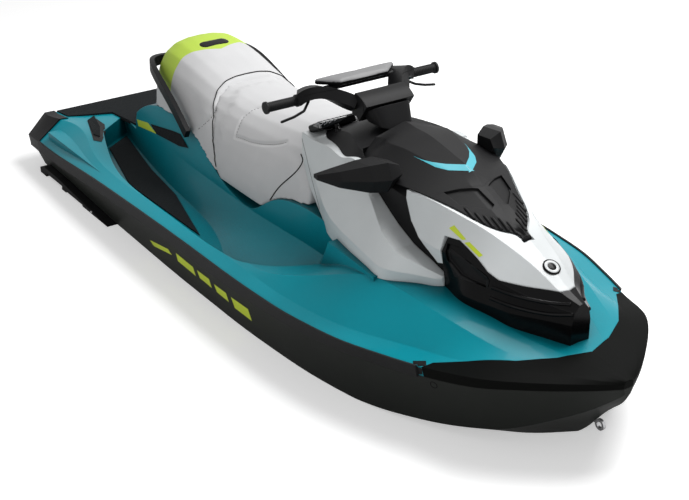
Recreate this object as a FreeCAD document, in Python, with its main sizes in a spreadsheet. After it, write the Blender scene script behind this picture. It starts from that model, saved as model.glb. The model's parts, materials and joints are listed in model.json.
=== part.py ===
"""Personal watercraft for three riders, lying afloat.

Frame: X forward to the bow, Y to port, Z up. The origin is on the centreline,
amidships, at the waterline. Lengths are in millimetres.

The driving sizes are in the spreadsheet. A line of the hull or of the upper works
is a table of shares: of the hull's length forward of the stern, of the half beam
off the centreline, and of a base height above the keel.
"""
import FreeCAD, Part
import math
import os
import re

import Sketcher

from FreeCAD import Placement, Rotation, Vector

doc = FreeCAD.newDocument("Watercraft")
sheet = doc.addObject("Spreadsheet::Sheet", "Sizes")

SIZES = {
    # the whole craft
    "hull_length": 3312, "half_beam": 625, "height_base": 1138, "draught": 220,
    "cut_over": 20, "fit_gap": 0.3, "move_gap": 5,
    # hull: transom recess, pump tunnel, intake duct and engine bay
    "transom_x": 36, "recess_half": 200, "recess_end": 372, "tunnel_half": 148,
    "tunnel_end": 640, "duct_half": 96, "duct_end": 1010, "duct_roof": 241,
    "bay_x": 900, "bay_length": 700, "bay_half": 205, "bay_floor": 100, "bay_top": 585,
    "engine_length": 640, "engine_width": 380, "engine_height": 470,
    # bumper strips and stern corners
    "bumper_proud": 9, "bumper_lap": 4, "corner_proud": 6, "corner_under": 12,
    "corner_length": 118,
    # platform and mats
    "platform_thick": 16, "mat_thick": 5, "socket_radius": 14, "socket_depth": 12,
    "socket_y": 160, "socket_x": 262,
    # sponsons
    "sponson_length": 790, "sponson_height": 134, "sponson_x": 118, "sponson_z": 126,
    "sponson_y": 616, "sponson_root": 90, "sponson_web": 14, "pocket_depth": 40,
    # seat
    "seat_gap": 0.4, "split_gap": 2,
    # grab rail
    "rail_wide": 44, "rail_thick": 22, "post_half": 34, "post_deep": 26,
    # pump
    "pump_z": 156, "pump_radius": 98, "pump_bore": 84, "rim_radius": 112, "rim_thick": 14,
    "cone_x": 420, "neck_x": 335,
    "outlet_x": 290, "outlet_bore": 42, "outlet_radius": 50, "vane_thick": 6, "vane_x": 392,
    "vane_length": 56, "hub_radius": 28, "lug_low": 84, "lug_thick": 10, "lug_half": 18,
    "lug_x": 262, "pivot_x": 282, "pivot_pin": 7, "boss_radius": 14,
    "nozzle_x": 302, "nozzle_end": 190, "nozzle_inlet": 68, "nozzle_mouth": 44,
    "nozzle_wall": 7,
    "impeller_x": 475, "impeller_length": 76, "blade_thick": 6, "blade_chord": 74,
    "root_pitch": 52, "tip_pitch": 68, "shaft_radius": 14, "shaft_clear": 3, "shaft_end": 962,
    "bucket_x": 300, "bucket_radius": 150, "bucket_thick": 7, "bucket_in": 105,
    "bucket_span": 65, "arm_in": 91, "arm_thick": 9, "arm_half": 20,
    "arm_pin": 8, "plate_thick": 12, "plate_x": 172,
    "bar_wide": 10, "bar_pitch": 36, "bar_high": 22, "bar_z": 20,
    # tow eyes
    "eye_radius": 20, "eye_hole": 11, "eye_thick": 10, "eye_shank": 4.5, "eye_out": 24,
    "bow_eye_z": 300, "stern_eye_y": 330, "stern_eye_z": 236,
    # lid, bin and gauge
    "lid_skin": 22, "lid_split": 2572, "lid_sweep": 276, "recess_depth": 9, "vent_depth": 15,
    "hinge_x": 2796, "hinge_z": 802, "hinge_pin": 6,
    "hinge_barrel": 11, "hinge_half": 18, "bin_x": 2170, "bin_length": 390, "bin_half": 140,
    "bin_floor": 650, "bin_wall": 4,
    "gauge_x": 1800, "gauge_y": 96, "gauge_z": 902, "gauge_tilt": 30, "gauge_half": 84,
    "gauge_deep": 84, "gauge_thick": 16, "gauge_round": 8,
    # steering
    "column_x": 2046, "column_z": 952, "column_rake": 33, "column_radius": 30,
    "column_length": 74, "boss_length": 40, "stem_radius": 14, "stem_length": 70,
    "bar_radius": 11, "grip_radius": 17, "grip_inner": 248, "grip_end": 388, "grip_x": 1800,
    "grip_z": 1026, "flange_radius": 23, "flange_thick": 8, "bend_y": 150, "bend_rise": 51,
    "bar_tilt": 45, "lever_radius": 5, "pad_half": 188, "pad_front_half": 108, "pad_deep": 72,
    "pad_thick": 22, "pad_round": 7,
}
for row, (alias, value) in enumerate(SIZES.items(), start=1):
    sheet.set(f"A{row}", alias)
    sheet.set(f"B{row}", str(value))
    sheet.setAlias(f"B{row}", alias)
doc.recompute()


def size(name):
    """A driving size, read from the spreadsheet."""
    return float(sheet.get(name))


LENGTH = size("hull_length")
BEAM = size("half_beam")
HEIGHT = size("height_base")
OVER = size("cut_over")
SHIFT = Vector(-LENGTH / 2, 0, -size("draught"))
FORWARD, PORT, UP = Vector(1, 0, 0), Vector(0, 1, 0), Vector(0, 0, 1)
parts = []
shapes = {}


def keep(shape, label):
    """Sub-part that carries a computed shape, set into the craft's frame."""
    obj = doc.addObject("Part::Feature", label)
    obj.Shape = shape
    obj.Placement = Placement(SHIFT, Rotation())
    obj.Label = label
    parts.append(obj)
    shapes[label] = shape
    return shape


def spot(x, y, z):
    """A place given in shares of length, half beam and height."""
    return Vector(x * LENGTH, y * BEAM, z * HEIGHT)


def slope(before, here, after):
    """Slope at the middle one of three (place, value) pairs that adds no overshoot."""
    left = (here[1] - before[1]) / (here[0] - before[0])
    right = (after[1] - here[1]) / (after[0] - here[0])
    return 0.0 if left * right <= 0 else 2 * left * right / (left + right)


def value_at(pairs, place):
    """Smooth value at a place along (place, value) pairs."""
    if place <= pairs[0][0]:
        return pairs[0][1]
    if place >= pairs[-1][0]:
        return pairs[-1][1]
    index = max(i for i, pair in enumerate(pairs) if pair[0] <= place)
    here, after = pairs[index], pairs[index + 1]
    step = after[0] - here[0]
    straight = (after[1] - here[1]) / step
    start = slope(pairs[index - 1], here, after) if index > 0 else straight
    end = slope(here, after, pairs[index + 2]) if index + 2 < len(pairs) else straight
    part = (place - here[0]) / step
    lift = part * part * (3 - 2 * part)
    bend = start * part * (1 - part) ** 2 - end * part ** 2 * (1 - part)
    return here[1] + (after[1] - here[1]) * lift + step * bend


def on_line(line, place):
    """Off-centre and height shares of a line at a station."""
    off = value_at([(x, y) for x, y, z in line], place)
    rise = value_at([(x, z) for x, y, z in line], place)
    return off, rise


def station_wire(place, lines):
    """Closed section at a station through its lines, from starboard low over to port low."""
    half = [on_line(line, place) for line in lines]
    points = [spot(place, -off, rise) for off, rise in half]
    middle = [points.pop()] if half[-1][0] == 0 else []
    other = [Vector(point.x, -point.y, point.z) for point in reversed(points)]
    ring = points + middle + other
    return Part.makePolygon(ring + [ring[0]])


def side_wire(place, lines):
    """Closed section at a station through lines that all lie to starboard."""
    half = [on_line(line, place) for line in lines]
    ring = [spot(place, -off, rise) for off, rise in half]
    return Part.makePolygon(ring + [ring[0]])


def skin(stations, lines, wire=station_wire):
    """Solid through the sections of a set of lines."""
    return Part.makeLoft([wire(place, lines) for place in stations], True, False)


def moved_line(line, out, up):
    """A line set outboard and upward by two lengths."""
    return tuple((x, y + out / BEAM, z + up / HEIGHT) for x, y, z in line)


def between(line, other, part):
    """A line a share of the way from one line to another that has the same stations."""
    rows = []
    for x, y, z in line:
        off, rise = on_line(other, x)
        rows.append((x, y + (off - y) * part, z + (rise - z) * part))
    return tuple(rows)


def curve(points):
    """Edge on a smooth curve through points."""
    line = Part.BSplineCurve()
    line.interpolate(points)
    return line.toShape()


def mirrored(shape):
    """The same shape on the other side of the centreline."""
    return shape.mirror(Vector(), PORT)


def block(x0, x1, y0, y1, z0, z1):
    """Box between two opposite corners."""
    return Part.makeBox(x1 - x0, y1 - y0, z1 - z0, Vector(x0, y0, z0))


def main_piece(shape):
    """The largest solid of a shape, without the slivers that a cut leaves."""
    return max(shape.Solids, key=lambda piece: piece.Volume)


def rod(start, end, radius):
    """Round bar from one point to another."""
    run = end - start
    return Part.makeCylinder(radius, run.Length, start, run)


def side_prism(points, half):
    """Prism across the craft whose outline is given in the side view."""
    ring = [Vector(x, -half, z) for x, z in points]
    return Part.Face(Part.makePolygon(ring + [ring[0]])).extrude(PORT * (2 * half))


def plan_prism(points, low, high):
    """Upright prism whose outline is given in plan."""
    ring = [Vector(x, y, low) for x, y in points]
    return Part.Face(Part.makePolygon(ring + [ring[0]])).extrude(UP * (high - low))


def plan_shares(shares, side=-1):
    """Plan points from shares of length and half beam."""
    return [(x * LENGTH, side * y * BEAM) for x, y in shares]


def pad_on(carrier, prism, thick):
    """Pad of even thickness on the top of a carrier, inside a prism."""
    raised = carrier.copy()
    raised.translate(UP * thick)
    return raised.common(prism).cut(carrier)


def bar_along(points, wide, thick, side):
    """Flat bar lofted along points; its width lies along side."""
    wires = []
    for index, point in enumerate(points):
        before = points[max(index - 1, 0)]
        after = points[min(index + 1, len(points) - 1)]
        run = (after - before).normalize()
        across = (side - run * side.dot(run)).normalize()
        up = run.cross(across)
        corners = [point + across * (wide / 2 * a) + up * (thick / 2 * b)
                   for a, b in ((-1, -1), (1, -1), (1, 1), (-1, 1))]
        wires.append(Part.makePolygon(corners + [corners[0]]))
    return Part.makeLoft(wires, True, False)


# Lines of the hull: (forward, off centre, height)
KEEL_SHARES = ((0, 0, 0), (0.55, 0, 0), (0.66, 0, 0.005), (0.75, 0, 0.018), (0.83, 0, 0.055),
               (0.88, 0, 0.095), (0.914, 0, 0.13), (0.939, 0, 0.19), (0.956, 0, 0.242),
               (0.975, 0, 0.317), (0.991, 0, 0.365), (1.0, 0, 0.405))
CHINE_SHARES = ((0, 0.86, 0.15), (0.32, 0.895, 0.154), (0.42, 0.905, 0.154), (0.55, 0.90, 0.157),
                (0.674, 0.87, 0.176), (0.773, 0.79, 0.195), (0.86, 0.62, 0.222),
                (0.914, 0.44, 0.25), (0.956, 0.24, 0.31), (0.985, 0.10, 0.37),
                (1.0, 0.02, 0.415))
BOND_SHARES = ((0, 0.955, 0.285), (0.077, 0.972, 0.292), (0.219, 0.985, 0.325),
               (0.357, 0.985, 0.343), (0.457, 0.98, 0.351), (0.55, 0.98, 0.356),
               (0.655, 0.955, 0.361), (0.749, 0.875, 0.369), (0.816, 0.765, 0.379),
               (0.865, 0.68, 0.391), (0.91, 0.585, 0.412), (0.94, 0.455, 0.424),
               (0.956, 0.36, 0.427), (0.97, 0.27, 0.43), (0.98, 0.20, 0.432),
               (0.99, 0.125, 0.434), (1.0, 0.03, 0.435))
EDGE_SHARES = ((0, 0.965, 0.322), (0.077, 0.975, 0.328), (0.219, 0.985, 0.361),
               (0.357, 0.985, 0.379), (0.457, 0.983, 0.388), (0.55, 0.983, 0.393),
               (0.655, 0.965, 0.398), (0.749, 0.90, 0.407), (0.816, 0.79, 0.415),
               (0.865, 0.69, 0.424), (0.91, 0.59, 0.443), (0.94, 0.46, 0.45),
               (0.956, 0.365, 0.452), (0.97, 0.275, 0.453), (0.98, 0.205, 0.453),
               (0.99, 0.128, 0.452), (1.0, 0.031, 0.45))
GUNWALE_SHARES = ((0, 0.82, 0.395), (0.08, 0.745, 0.403), (0.17, 0.85, 0.39),
                  (0.23, 0.885, 0.385), (0.32, 0.89, 0.392), (0.42, 0.895, 0.404),
                  (0.55, 0.895, 0.41), (0.637, 0.89, 0.413), (0.71, 0.845, 0.416),
                  (0.764, 0.77, 0.42), (0.8225, 0.64, 0.428), (0.865, 0.57, 0.44),
                  (0.909, 0.46, 0.457), (0.94, 0.34, 0.462), (0.97, 0.205, 0.462),
                  (0.985, 0.13, 0.46), (1.0, 0.027, 0.454))
SHOULDER_SHARES = ((0, 0.60, 0.393), (0.17, 0.62, 0.39), (0.32, 0.80, 0.392),
                   (0.55, 0.84, 0.412), (0.594, 0.85, 0.425), (0.637, 0.80, 0.452),
                   (0.69, 0.64, 0.494), (0.735, 0.54, 0.527), (0.773, 0.50, 0.519),
                   (0.8125, 0.48, 0.512), (0.849, 0.446, 0.50), (0.877, 0.40, 0.484),
                   (0.909, 0.34, 0.47), (0.94, 0.24, 0.467), (0.97, 0.14, 0.466),
                   (0.985, 0.085, 0.464), (1.0, 0.02, 0.457))
INNER_SHARES = ((0, 0.40, 0.392), (0.17, 0.40, 0.391), (0.55, 0.45, 0.412), (0.594, 0.46, 0.43),
                (0.648, 0.46, 0.462), (0.69, 0.50, 0.522), (0.735, 0.42, 0.532),
                (0.773, 0.34, 0.53), (0.8125, 0.28, 0.527), (0.849, 0.27, 0.517),
                (0.877, 0.25, 0.503), (0.909, 0.20, 0.487), (0.94, 0.13, 0.475),
                (0.97, 0.08, 0.47), (0.985, 0.045, 0.467), (1.0, 0.013, 0.458))
CENTRE_SHARES = ((0, 0, 0.392), (0.17, 0, 0.391), (0.55, 0, 0.412), (0.594, 0, 0.43),
                 (0.648, 0, 0.462), (0.69, 0, 0.524), (0.735, 0, 0.536), (0.8125, 0, 0.532),
                 (0.849, 0, 0.522), (0.877, 0, 0.51), (0.909, 0, 0.493), (0.94, 0, 0.479),
                 (0.97, 0, 0.472), (0.985, 0, 0.468), (1.0, 0, 0.459))
STATION_SHARES = (0, 0.05, 0.1, 0.16, 0.23, 0.32, 0.42, 0.5, 0.56, 0.6, 0.64, 0.68, 0.72, 0.76,
                  0.8, 0.835, 0.865, 0.892, 0.915, 0.935, 0.953, 0.968, 0.98, 0.99, 1.0)

# Seat line: top of the pedestal under the cushions, in the side view
SEAT_LINE_SHARES = ((0.12, 0.46), (0.163, 0.53), (0.22, 0.556), (0.295, 0.545), (0.363, 0.476),
                    (0.432, 0.434), (0.465, 0.44), (0.493, 0.494), (0.55, 0.541),
                    (0.60, 0.548), (0.70, 0.54), (0.735, 0.531))
CORNER_REACH_SHARE = 0.35
PEDESTAL_HALF_SHARE = 0.565
PEDESTAL_FOOT_SHARE = 0.31
TRAY_SHARES = (0.05, 0.62)
TRAY_HALF_SHARE, TRAY_LOW_SHARE, TRAY_TOP_SHARE = 0.925, 0.30, 0.375
SEAT_HALF_SHARE = 0.62

# Footwell outlines at three levels: inboard edge, front edge, outboard edge
FLOOR_SHARE, RIM_SHARE, OPEN_SHARE = 0.322, 0.43, 0.62
FLOOR_IN_SHARES = ((0.07, 0.34), (0.21, 0.49), (0.30, 0.55), (0.39, 0.60), (0.478, 0.745),
                   (0.51, 0.83))
FLOOR_FRONT_SHARES = ((0.51, 0.83), (0.505, 0.85), (0.495, 0.86))
FLOOR_OUT_SHARES = ((0.495, 0.86), (0.45, 0.865), (0.33, 0.855), (0.24, 0.80), (0.17, 0.71),
                    (0.107, 0.61))
RIM_IN_SHARES = ((0.06, 0.345), (0.21, 0.43), (0.30, 0.46), (0.39, 0.475), (0.48, 0.48),
                 (0.573, 0.455), (0.645, 0.46))
RIM_FRONT_SHARES = ((0.645, 0.46), (0.622, 0.62), (0.596, 0.78), (0.56, 0.885))
RIM_OUT_SHARES = ((0.56, 0.885), (0.51, 0.91), (0.42, 0.91), (0.33, 0.905), (0.24, 0.87),
                  (0.17, 0.76), (0.10, 0.61))
OPEN_IN_SHARES = ((0.05, 0.33), (0.21, 0.335), (0.30, 0.36), (0.39, 0.385), (0.48, 0.40),
                  (0.573, 0.40), (0.65, 0.50))
OPEN_FRONT_SHARES = ((0.65, 0.50), (0.66, 0.66), (0.64, 0.82), (0.59, 0.95))
OPEN_OUT_SHARES = ((0.59, 0.95), (0.51, 0.97), (0.42, 0.975), (0.33, 0.97), (0.24, 0.93),
                   (0.17, 0.82), (0.09, 0.66))

# Outline of the bow cover on the deck, outboard to the centreline
BOW_LINE_SHARES = ((0.85, 0.80), (0.858, 0.65), (0.886, 0.515), (0.916, 0.36), (0.937, 0.18),
                   (0.949, 0.0))
BOW_LOW_SHARE, BOW_HIGH_SHARE = 0.30, 0.60
PLATFORM_SHARES = ((0.0, 0.735), (0.028, 0.71), (0.05, 0.40), (0.155, 0.33))
FLOOR_MAT_SHARES = ((0.085, 0.385), (0.112, 0.595), (0.24, 0.765), (0.42, 0.745), (0.30, 0.58),
                    (0.21, 0.52))
HEEL_MAT_SHARES = ((0.045, 0.54), (0.056, 0.62), (0.112, 0.71), (0.122, 0.685), (0.088, 0.60))


def outline(level, inboard, front, outboard):
    """Closed starboard outline of a footwell at one level."""
    edges = []
    for shares in (inboard, front, outboard):
        edges.append(curve([spot(x, -y, level) for x, y in shares]))
    last = spot(outboard[-1][0], -outboard[-1][1], level)
    first = spot(inboard[0][0], -inboard[0][1], level)
    edges.append(Part.makeLine(last, first))
    return Part.Wire(edges)


def footwell():
    """Space for the rider's feet on the starboard side."""
    wires = [
        outline(FLOOR_SHARE, FLOOR_IN_SHARES, FLOOR_FRONT_SHARES, FLOOR_OUT_SHARES),
        outline(RIM_SHARE, RIM_IN_SHARES, RIM_FRONT_SHARES, RIM_OUT_SHARES),
        outline(OPEN_SHARE, OPEN_IN_SHARES, OPEN_FRONT_SHARES, OPEN_OUT_SHARES),
    ]
    return Part.makeLoft(wires, True, True)


def under_seat(half_share, lift=0.0):
    """Prism below the seat line, as wide as asked on each side."""
    half = half_share * BEAM
    top = [Vector(x * LENGTH, -half, z * HEIGHT + lift) for x, z in SEAT_LINE_SHARES]
    low = PEDESTAL_FOOT_SHARE * HEIGHT
    front = Vector(top[-1].x, -half, low)
    rear = Vector(top[0].x, -half, low)
    wire = Part.Wire([curve(top), Part.makeLine(top[-1], front),
                      Part.makeLine(front, rear), Part.makeLine(rear, top[0])])
    return Part.Face(wire).extrude(PORT * (2 * half))


def bow_region():
    """Upright prism over the bow that the black cover fills."""
    half = [(x * LENGTH, -y * BEAM) for x, y in BOW_LINE_SHARES]
    other = [(x, -y) for x, y in reversed(half[:-1])]
    ahead = LENGTH + OVER
    ring = [(ahead, half[0][1])] + half + other + [(ahead, -half[0][1])]
    return plan_prism(ring, BOW_LOW_SHARE * HEIGHT, BOW_HIGH_SHARE * HEIGHT)


def engine_bay():
    """Space for the engine in the hull, the deck and under the seat."""
    x, half = size("bay_x"), size("bay_half")
    return block(x, x + size("bay_length"), -half, half, size("bay_floor"), size("bay_top"))


def floor_tray():
    """Block under the footwells that the deck fills inside the hull."""
    half = TRAY_HALF_SHARE * BEAM
    return block(TRAY_SHARES[0] * LENGTH, TRAY_SHARES[1] * LENGTH, -half, half,
                 TRAY_LOW_SHARE * HEIGHT, TRAY_TOP_SHARE * HEIGHT)


def make_hull():
    """Hull moulding with the pump recess, the tunnel, the intake and the engine bay."""
    hull = skin(STATION_SHARES, (KEEL_SHARES, CHINE_SHARES, BOND_SHARES))
    z = size("pump_z")
    half, reach = size("recess_half"), size("half_beam") + OVER
    stern = block(-OVER, size("transom_x"), -reach, reach, -OVER, HEIGHT)
    recess = block(-OVER, size("recess_end"), -half, half, -OVER, HEIGHT)
    half = size("tunnel_half")
    arch = rod(Vector(0, 0, z), Vector(size("tunnel_end"), 0, z), half)
    channel = block(0, size("tunnel_end"), -half, half, -OVER, z)
    half, start = size("duct_half"), size("tunnel_end") - OVER
    duct = side_prism([(start, size("duct_roof")), (size("duct_end"), 0),
                       (size("duct_end"), -OVER), (start, -OVER)], half)
    shaft = rod(Vector(size("tunnel_end"), 0, z), Vector(size("bay_x") + OVER, 0, z),
                size("shaft_radius") + size("shaft_clear"))
    inside = [engine_bay(), floor_tray(), under_seat(PEDESTAL_HALF_SHARE)]
    hull = hull.cut([stern, recess, arch, channel, duct, shaft]).cut(inside)
    return keep(main_piece(hull), "hull")


def platform_prism(low, high):
    """Outline of the rear platform, both sides."""
    half = plan_shares(PLATFORM_SHARES)
    ring = [(-OVER, half[0][1])] + half + [(x, -y) for x, y in reversed(half)]
    return plan_prism(ring + [(-OVER, -half[0][1])], low, high)


def make_deck():
    """Deck moulding with pedestal and footwells, and the pieces cut from the same skin."""
    bond = moved_line(BOND_SHARES, 0, size("fit_gap"))
    skin_deck = skin(STATION_SHARES, (bond, EDGE_SHARES, GUNWALE_SHARES, SHOULDER_SHARES,
                                      INNER_SHARES, CENTRE_SHARES))
    bow = bow_region()
    well = footwell()
    cover = skin_deck.common(bow)
    deck = skin_deck.cut(bow).fuse([under_seat(PEDESTAL_HALF_SHARE), floor_tray()])
    deck = deck.cut([well, mirrored(well), engine_bay()])
    top = CENTRE_SHARES[0][2] * HEIGHT
    thick = size("platform_thick")
    prism = platform_prism(top - thick / 2, top + OVER)
    platform = platform_prism(top - thick / 2, top + thick / 2).common(
        block(0, LENGTH, -BEAM, BEAM, 0, HEIGHT)).cut(deck.cut(prism))
    deck = deck.cut(prism)
    for side in (-1, 1):
        x, y = size("socket_x"), side * size("socket_y")
        low = top + thick / 2 - size("socket_depth")
        platform = platform.cut(rod(Vector(x, y, low), Vector(x, y, top + thick),
                                    size("socket_radius")))
    keep(deck, "deck")
    keep(cover, "bow_cover")
    keep(platform, "rear_platform")
    return deck


def make_bumpers():
    """Rubber strips along the bond line and caps round the stern corners."""
    proud, lap, gap = size("bumper_proud"), size("bumper_lap"), size("fit_gap")
    outer = [moved_line(BOND_SHARES, proud, -lap), moved_line(EDGE_SHARES, proud, lap)]
    inner = [moved_line(EDGE_SHARES, gap, lap), moved_line(EDGE_SHARES, gap, 0),
             moved_line(BOND_SHARES, gap, 0), moved_line(BOND_SHARES, gap, -lap)]
    length = size("corner_length")
    zone = block(length + gap, BOW_LINE_SHARES[0][0] * LENGTH, -2 * BEAM, 0, 0, HEIGHT)
    strip = skin(STATION_SHARES, outer + inner, side_wire).common(zone)
    keep(Part.makeCompound([strip, mirrored(strip)]), "side_bumpers")
    proud, under = size("corner_proud"), size("corner_under")
    inset = between(GUNWALE_SHARES, SHOULDER_SHARES, CORNER_REACH_SHARE)
    outer = [moved_line(line, proud, rise) for line, rise in (
        (BOND_SHARES, -under), (BOND_SHARES, 0), (EDGE_SHARES, 0), (GUNWALE_SHARES, proud),
        (inset, proud))]
    inner = [moved_line(line, gap, rise) for line, rise in (
        (inset, gap), (GUNWALE_SHARES, gap), (EDGE_SHARES, 0), (BOND_SHARES, 0),
        (BOND_SHARES, -under))]
    zone = block(0, length, -2 * BEAM, 0, 0, HEIGHT)
    side = skin(STATION_SHARES, outer + inner, side_wire).common(zone)
    ring = [spot(0, -off, rise) for off, rise in (on_line(line, 0) for line in outer)]
    ring.append(Vector(0, ring[-1].y, ring[0].z))
    rear = Part.Face(Part.makePolygon(ring + [ring[0]])).extrude(FORWARD * -proud)
    corner = side.fuse(rear)
    keep(Part.makeCompound([corner, mirrored(corner)]), "stern_corners")


def make_mats(deck):
    """Foam mats on the footwell floors and on the heel ledges."""
    thick = size("mat_thick")
    floor = FLOOR_SHARE * HEIGHT
    mat = plan_prism(plan_shares(FLOOR_MAT_SHARES), floor, floor + thick)
    mat = main_piece(mat.cut(deck))
    heel = pad_on(deck, plan_prism(plan_shares(HEEL_MAT_SHARES), floor, HEIGHT), thick)
    pieces = [mat, heel]
    keep(Part.makeCompound(pieces + [mirrored(piece) for piece in pieces]), "traction_mats")


# Seat: half widths and heights of its section at each station
SEAT_SHARES = (
    # forward, foot half, side half, side height, shoulder half, shoulder height, crown height
    (0.158, 0.20, 0.20, 0.60, 0.15, 0.66, 0.68),
    (0.165, 0.30, 0.295, 0.64, 0.22, 0.72, 0.745),
    (0.175, 0.345, 0.33, 0.66, 0.24, 0.75, 0.782),
    (0.19, 0.365, 0.345, 0.67, 0.25, 0.765, 0.797),
    (0.215, 0.385, 0.355, 0.67, 0.255, 0.762, 0.793),
    (0.25, 0.405, 0.36, 0.66, 0.26, 0.745, 0.774),
    (0.29, 0.425, 0.365, 0.64, 0.26, 0.718, 0.745),
    (0.325, 0.445, 0.375, 0.62, 0.265, 0.695, 0.722),
    (0.36, 0.46, 0.39, 0.605, 0.27, 0.688, 0.714),
    (0.40, 0.47, 0.40, 0.60, 0.27, 0.695, 0.722),
    (0.44, 0.475, 0.40, 0.61, 0.26, 0.71, 0.739),
    (0.48, 0.465, 0.385, 0.63, 0.245, 0.73, 0.76),
    (0.52, 0.44, 0.36, 0.65, 0.235, 0.745, 0.776),
    (0.56, 0.41, 0.34, 0.66, 0.23, 0.75, 0.782),
)
SEAT_FOOT_SHARE = 0.40
SEAT_FLATS = 20
# Where the seat's front meets the side panels, in the side view
PANEL_REAR_SHARES = ((0.5305, 0.82), (0.5325, 0.74), (0.540, 0.66), (0.555, 0.605),
                     (0.578, 0.57), (0.60, 0.548))
SEAM_SHARES = ((0.290, 0.80), (0.373, 0.46))


def seat_wire(row):
    """Section of the seat at a station: a flat foot under one smooth arch."""
    x, foot, side, side_high, shoulder, shoulder_high, crown = row
    half = [spot(x, -foot, SEAT_FOOT_SHARE), spot(x, -side, side_high),
            spot(x, -shoulder, shoulder_high), spot(x, 0, crown)]
    other = [Vector(p.x, -p.y, p.z) for p in reversed(half[:-1])]
    ring = half + other
    arch = curve(ring).discretize(Number=SEAT_FLATS + 1)
    return Part.makePolygon(arch + [arch[0]])


def make_seats():
    """Two cushions on moulded bases, each standing on the pedestal."""
    seat = Part.makeLoft([seat_wire(row) for row in SEAT_SHARES], True, False)
    front = [(x * LENGTH - size("seat_gap"), z * HEIGHT) for x, z in PANEL_REAR_SHARES]
    ahead = side_prism(front + [(LENGTH, front[-1][1]), (LENGTH, front[0][1])], BEAM)
    seat = seat.cut([under_seat(SEAT_HALF_SHARE, size("seat_gap")), ahead, engine_bay()])
    seam = [(x * LENGTH, z * HEIGHT) for x, z in SEAM_SHARES]
    gap = size("split_gap") / 2
    behind = side_prism([(x - gap, z) for x, z in seam] + [(0, seam[1][1]), (0, seam[0][1])],
                        BEAM)
    before = side_prism([(x + gap, z) for x, z in seam]
                        + [(LENGTH, seam[1][1]), (LENGTH, seam[0][1])], BEAM)
    keep(seat.common(before), "seat_front")
    keep(seat.common(behind), "seat_rear")


# Upper works: the nose under the hood, the black console, the side panels and the lid
NOSE_FOOT_SHARES = ((0.72, 0.30, 0.50), (0.785, 0.30, 0.50), (0.82, 0.32, 0.50),
                    (0.847, 0.29, 0.50), (0.878, 0.24, 0.50), (0.91, 0.135, 0.48),
                    (0.931, 0.065, 0.47))
NOSE_BASE_SHARES = ((0.72, 0.30, 0.545), (0.785, 0.30, 0.545), (0.82, 0.32, 0.545),
                    (0.847, 0.29, 0.545), (0.878, 0.24, 0.546), (0.91, 0.135, 0.546),
                    (0.931, 0.065, 0.545))
NOSE_SIDE_SHARES = ((0.72, 0.36, 0.72), (0.735, 0.37, 0.70), (0.76, 0.355, 0.66),
                    (0.785, 0.335, 0.65), (0.82, 0.295, 0.645), (0.847, 0.265, 0.635),
                    (0.878, 0.215, 0.615), (0.91, 0.115, 0.592), (0.931, 0.05, 0.582))
NOSE_EDGE_SHARES = ((0.72, 0.34, 0.79), (0.735, 0.33, 0.788), (0.76, 0.285, 0.775),
                    (0.785, 0.235, 0.757), (0.82, 0.165, 0.728), (0.847, 0.12, 0.70),
                    (0.878, 0.085, 0.668), (0.91, 0.05, 0.622), (0.931, 0.02, 0.602))
NOSE_TOP_SHARES = ((0.72, 0, 0.80), (0.76, 0, 0.785), (0.785, 0, 0.768), (0.82, 0, 0.735),
                   (0.847, 0, 0.711), (0.878, 0, 0.673), (0.91, 0, 0.625), (0.931, 0, 0.604))
NOSE_STATION_SHARES = (0.72, 0.735, 0.76, 0.785, 0.805, 0.825, 0.847, 0.87, 0.89, 0.91, 0.922,
                       0.931)
# Lower edge of the white hood in the side view, from its rear top corner round to the nose
HOOD_REAR_SHARES = ((0.728, 0.84), (0.733, 0.76), (0.745, 0.70), (0.765, 0.64), (0.782, 0.60),
                    (0.790, 0.607), (0.786, 0.69), (0.803, 0.69), (0.828, 0.662),
                    (0.846, 0.64), (0.86, 0.629), (0.886, 0.6255), (0.931, 0.62))
# Side vent under the hood, in the side view
VENT_SHARES = ((0.792, 0.674), (0.805, 0.674), (0.828, 0.645), (0.8485, 0.62), (0.8485, 0.595),
               (0.815, 0.598), (0.797, 0.625))
CONSOLE_FOOT_SHARES = ((0.53, 0.29, 0.50), (0.62, 0.32, 0.50), (0.68, 0.33, 0.50),
                       (0.74, 0.32, 0.50), (0.80, 0.28, 0.50))
CONSOLE_SIDE_SHARES = ((0.53, 0.29, 0.745), (0.56, 0.30, 0.76), (0.62, 0.335, 0.778),
                       (0.66, 0.36, 0.79), (0.70, 0.36, 0.775), (0.74, 0.33, 0.75),
                       (0.77, 0.30, 0.70), (0.80, 0.27, 0.64))
CONSOLE_EDGE_SHARES = ((0.53, 0.19, 0.752), (0.56, 0.20, 0.79), (0.60, 0.23, 0.82),
                       (0.64, 0.30, 0.815), (0.70, 0.30, 0.80), (0.76, 0.22, 0.77),
                       (0.80, 0.18, 0.70))
CONSOLE_TOP_SHARES = ((0.53, 0, 0.755), (0.56, 0, 0.805), (0.585, 0, 0.835), (0.615, 0, 0.845),
                      (0.635, 0, 0.83), (0.70, 0, 0.81), (0.76, 0, 0.78), (0.80, 0, 0.71))
CONSOLE_STATION_SHARES = (0.53, 0.545, 0.56, 0.58, 0.60, 0.62, 0.64, 0.67, 0.70, 0.73, 0.76,
                          0.78, 0.80)
PANEL_IN_SHARES = ((0.525, 0.20, 0.50), (0.80, 0.20, 0.50))
PANEL_FOOT_SHARES = ((0.525, 0.32, 0.52), (0.56, 0.36, 0.52), (0.60, 0.42, 0.52),
                     (0.64, 0.485, 0.52), (0.69, 0.525, 0.52), (0.735, 0.54, 0.52),
                     (0.76, 0.44, 0.52), (0.79, 0.30, 0.52))
PANEL_BELT_SHARES = ((0.525, 0.335, 0.72), (0.56, 0.37, 0.68), (0.60, 0.44, 0.63),
                     (0.64, 0.50, 0.60), (0.69, 0.53, 0.585), (0.735, 0.535, 0.565),
                     (0.76, 0.46, 0.56), (0.79, 0.32, 0.555))
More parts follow.
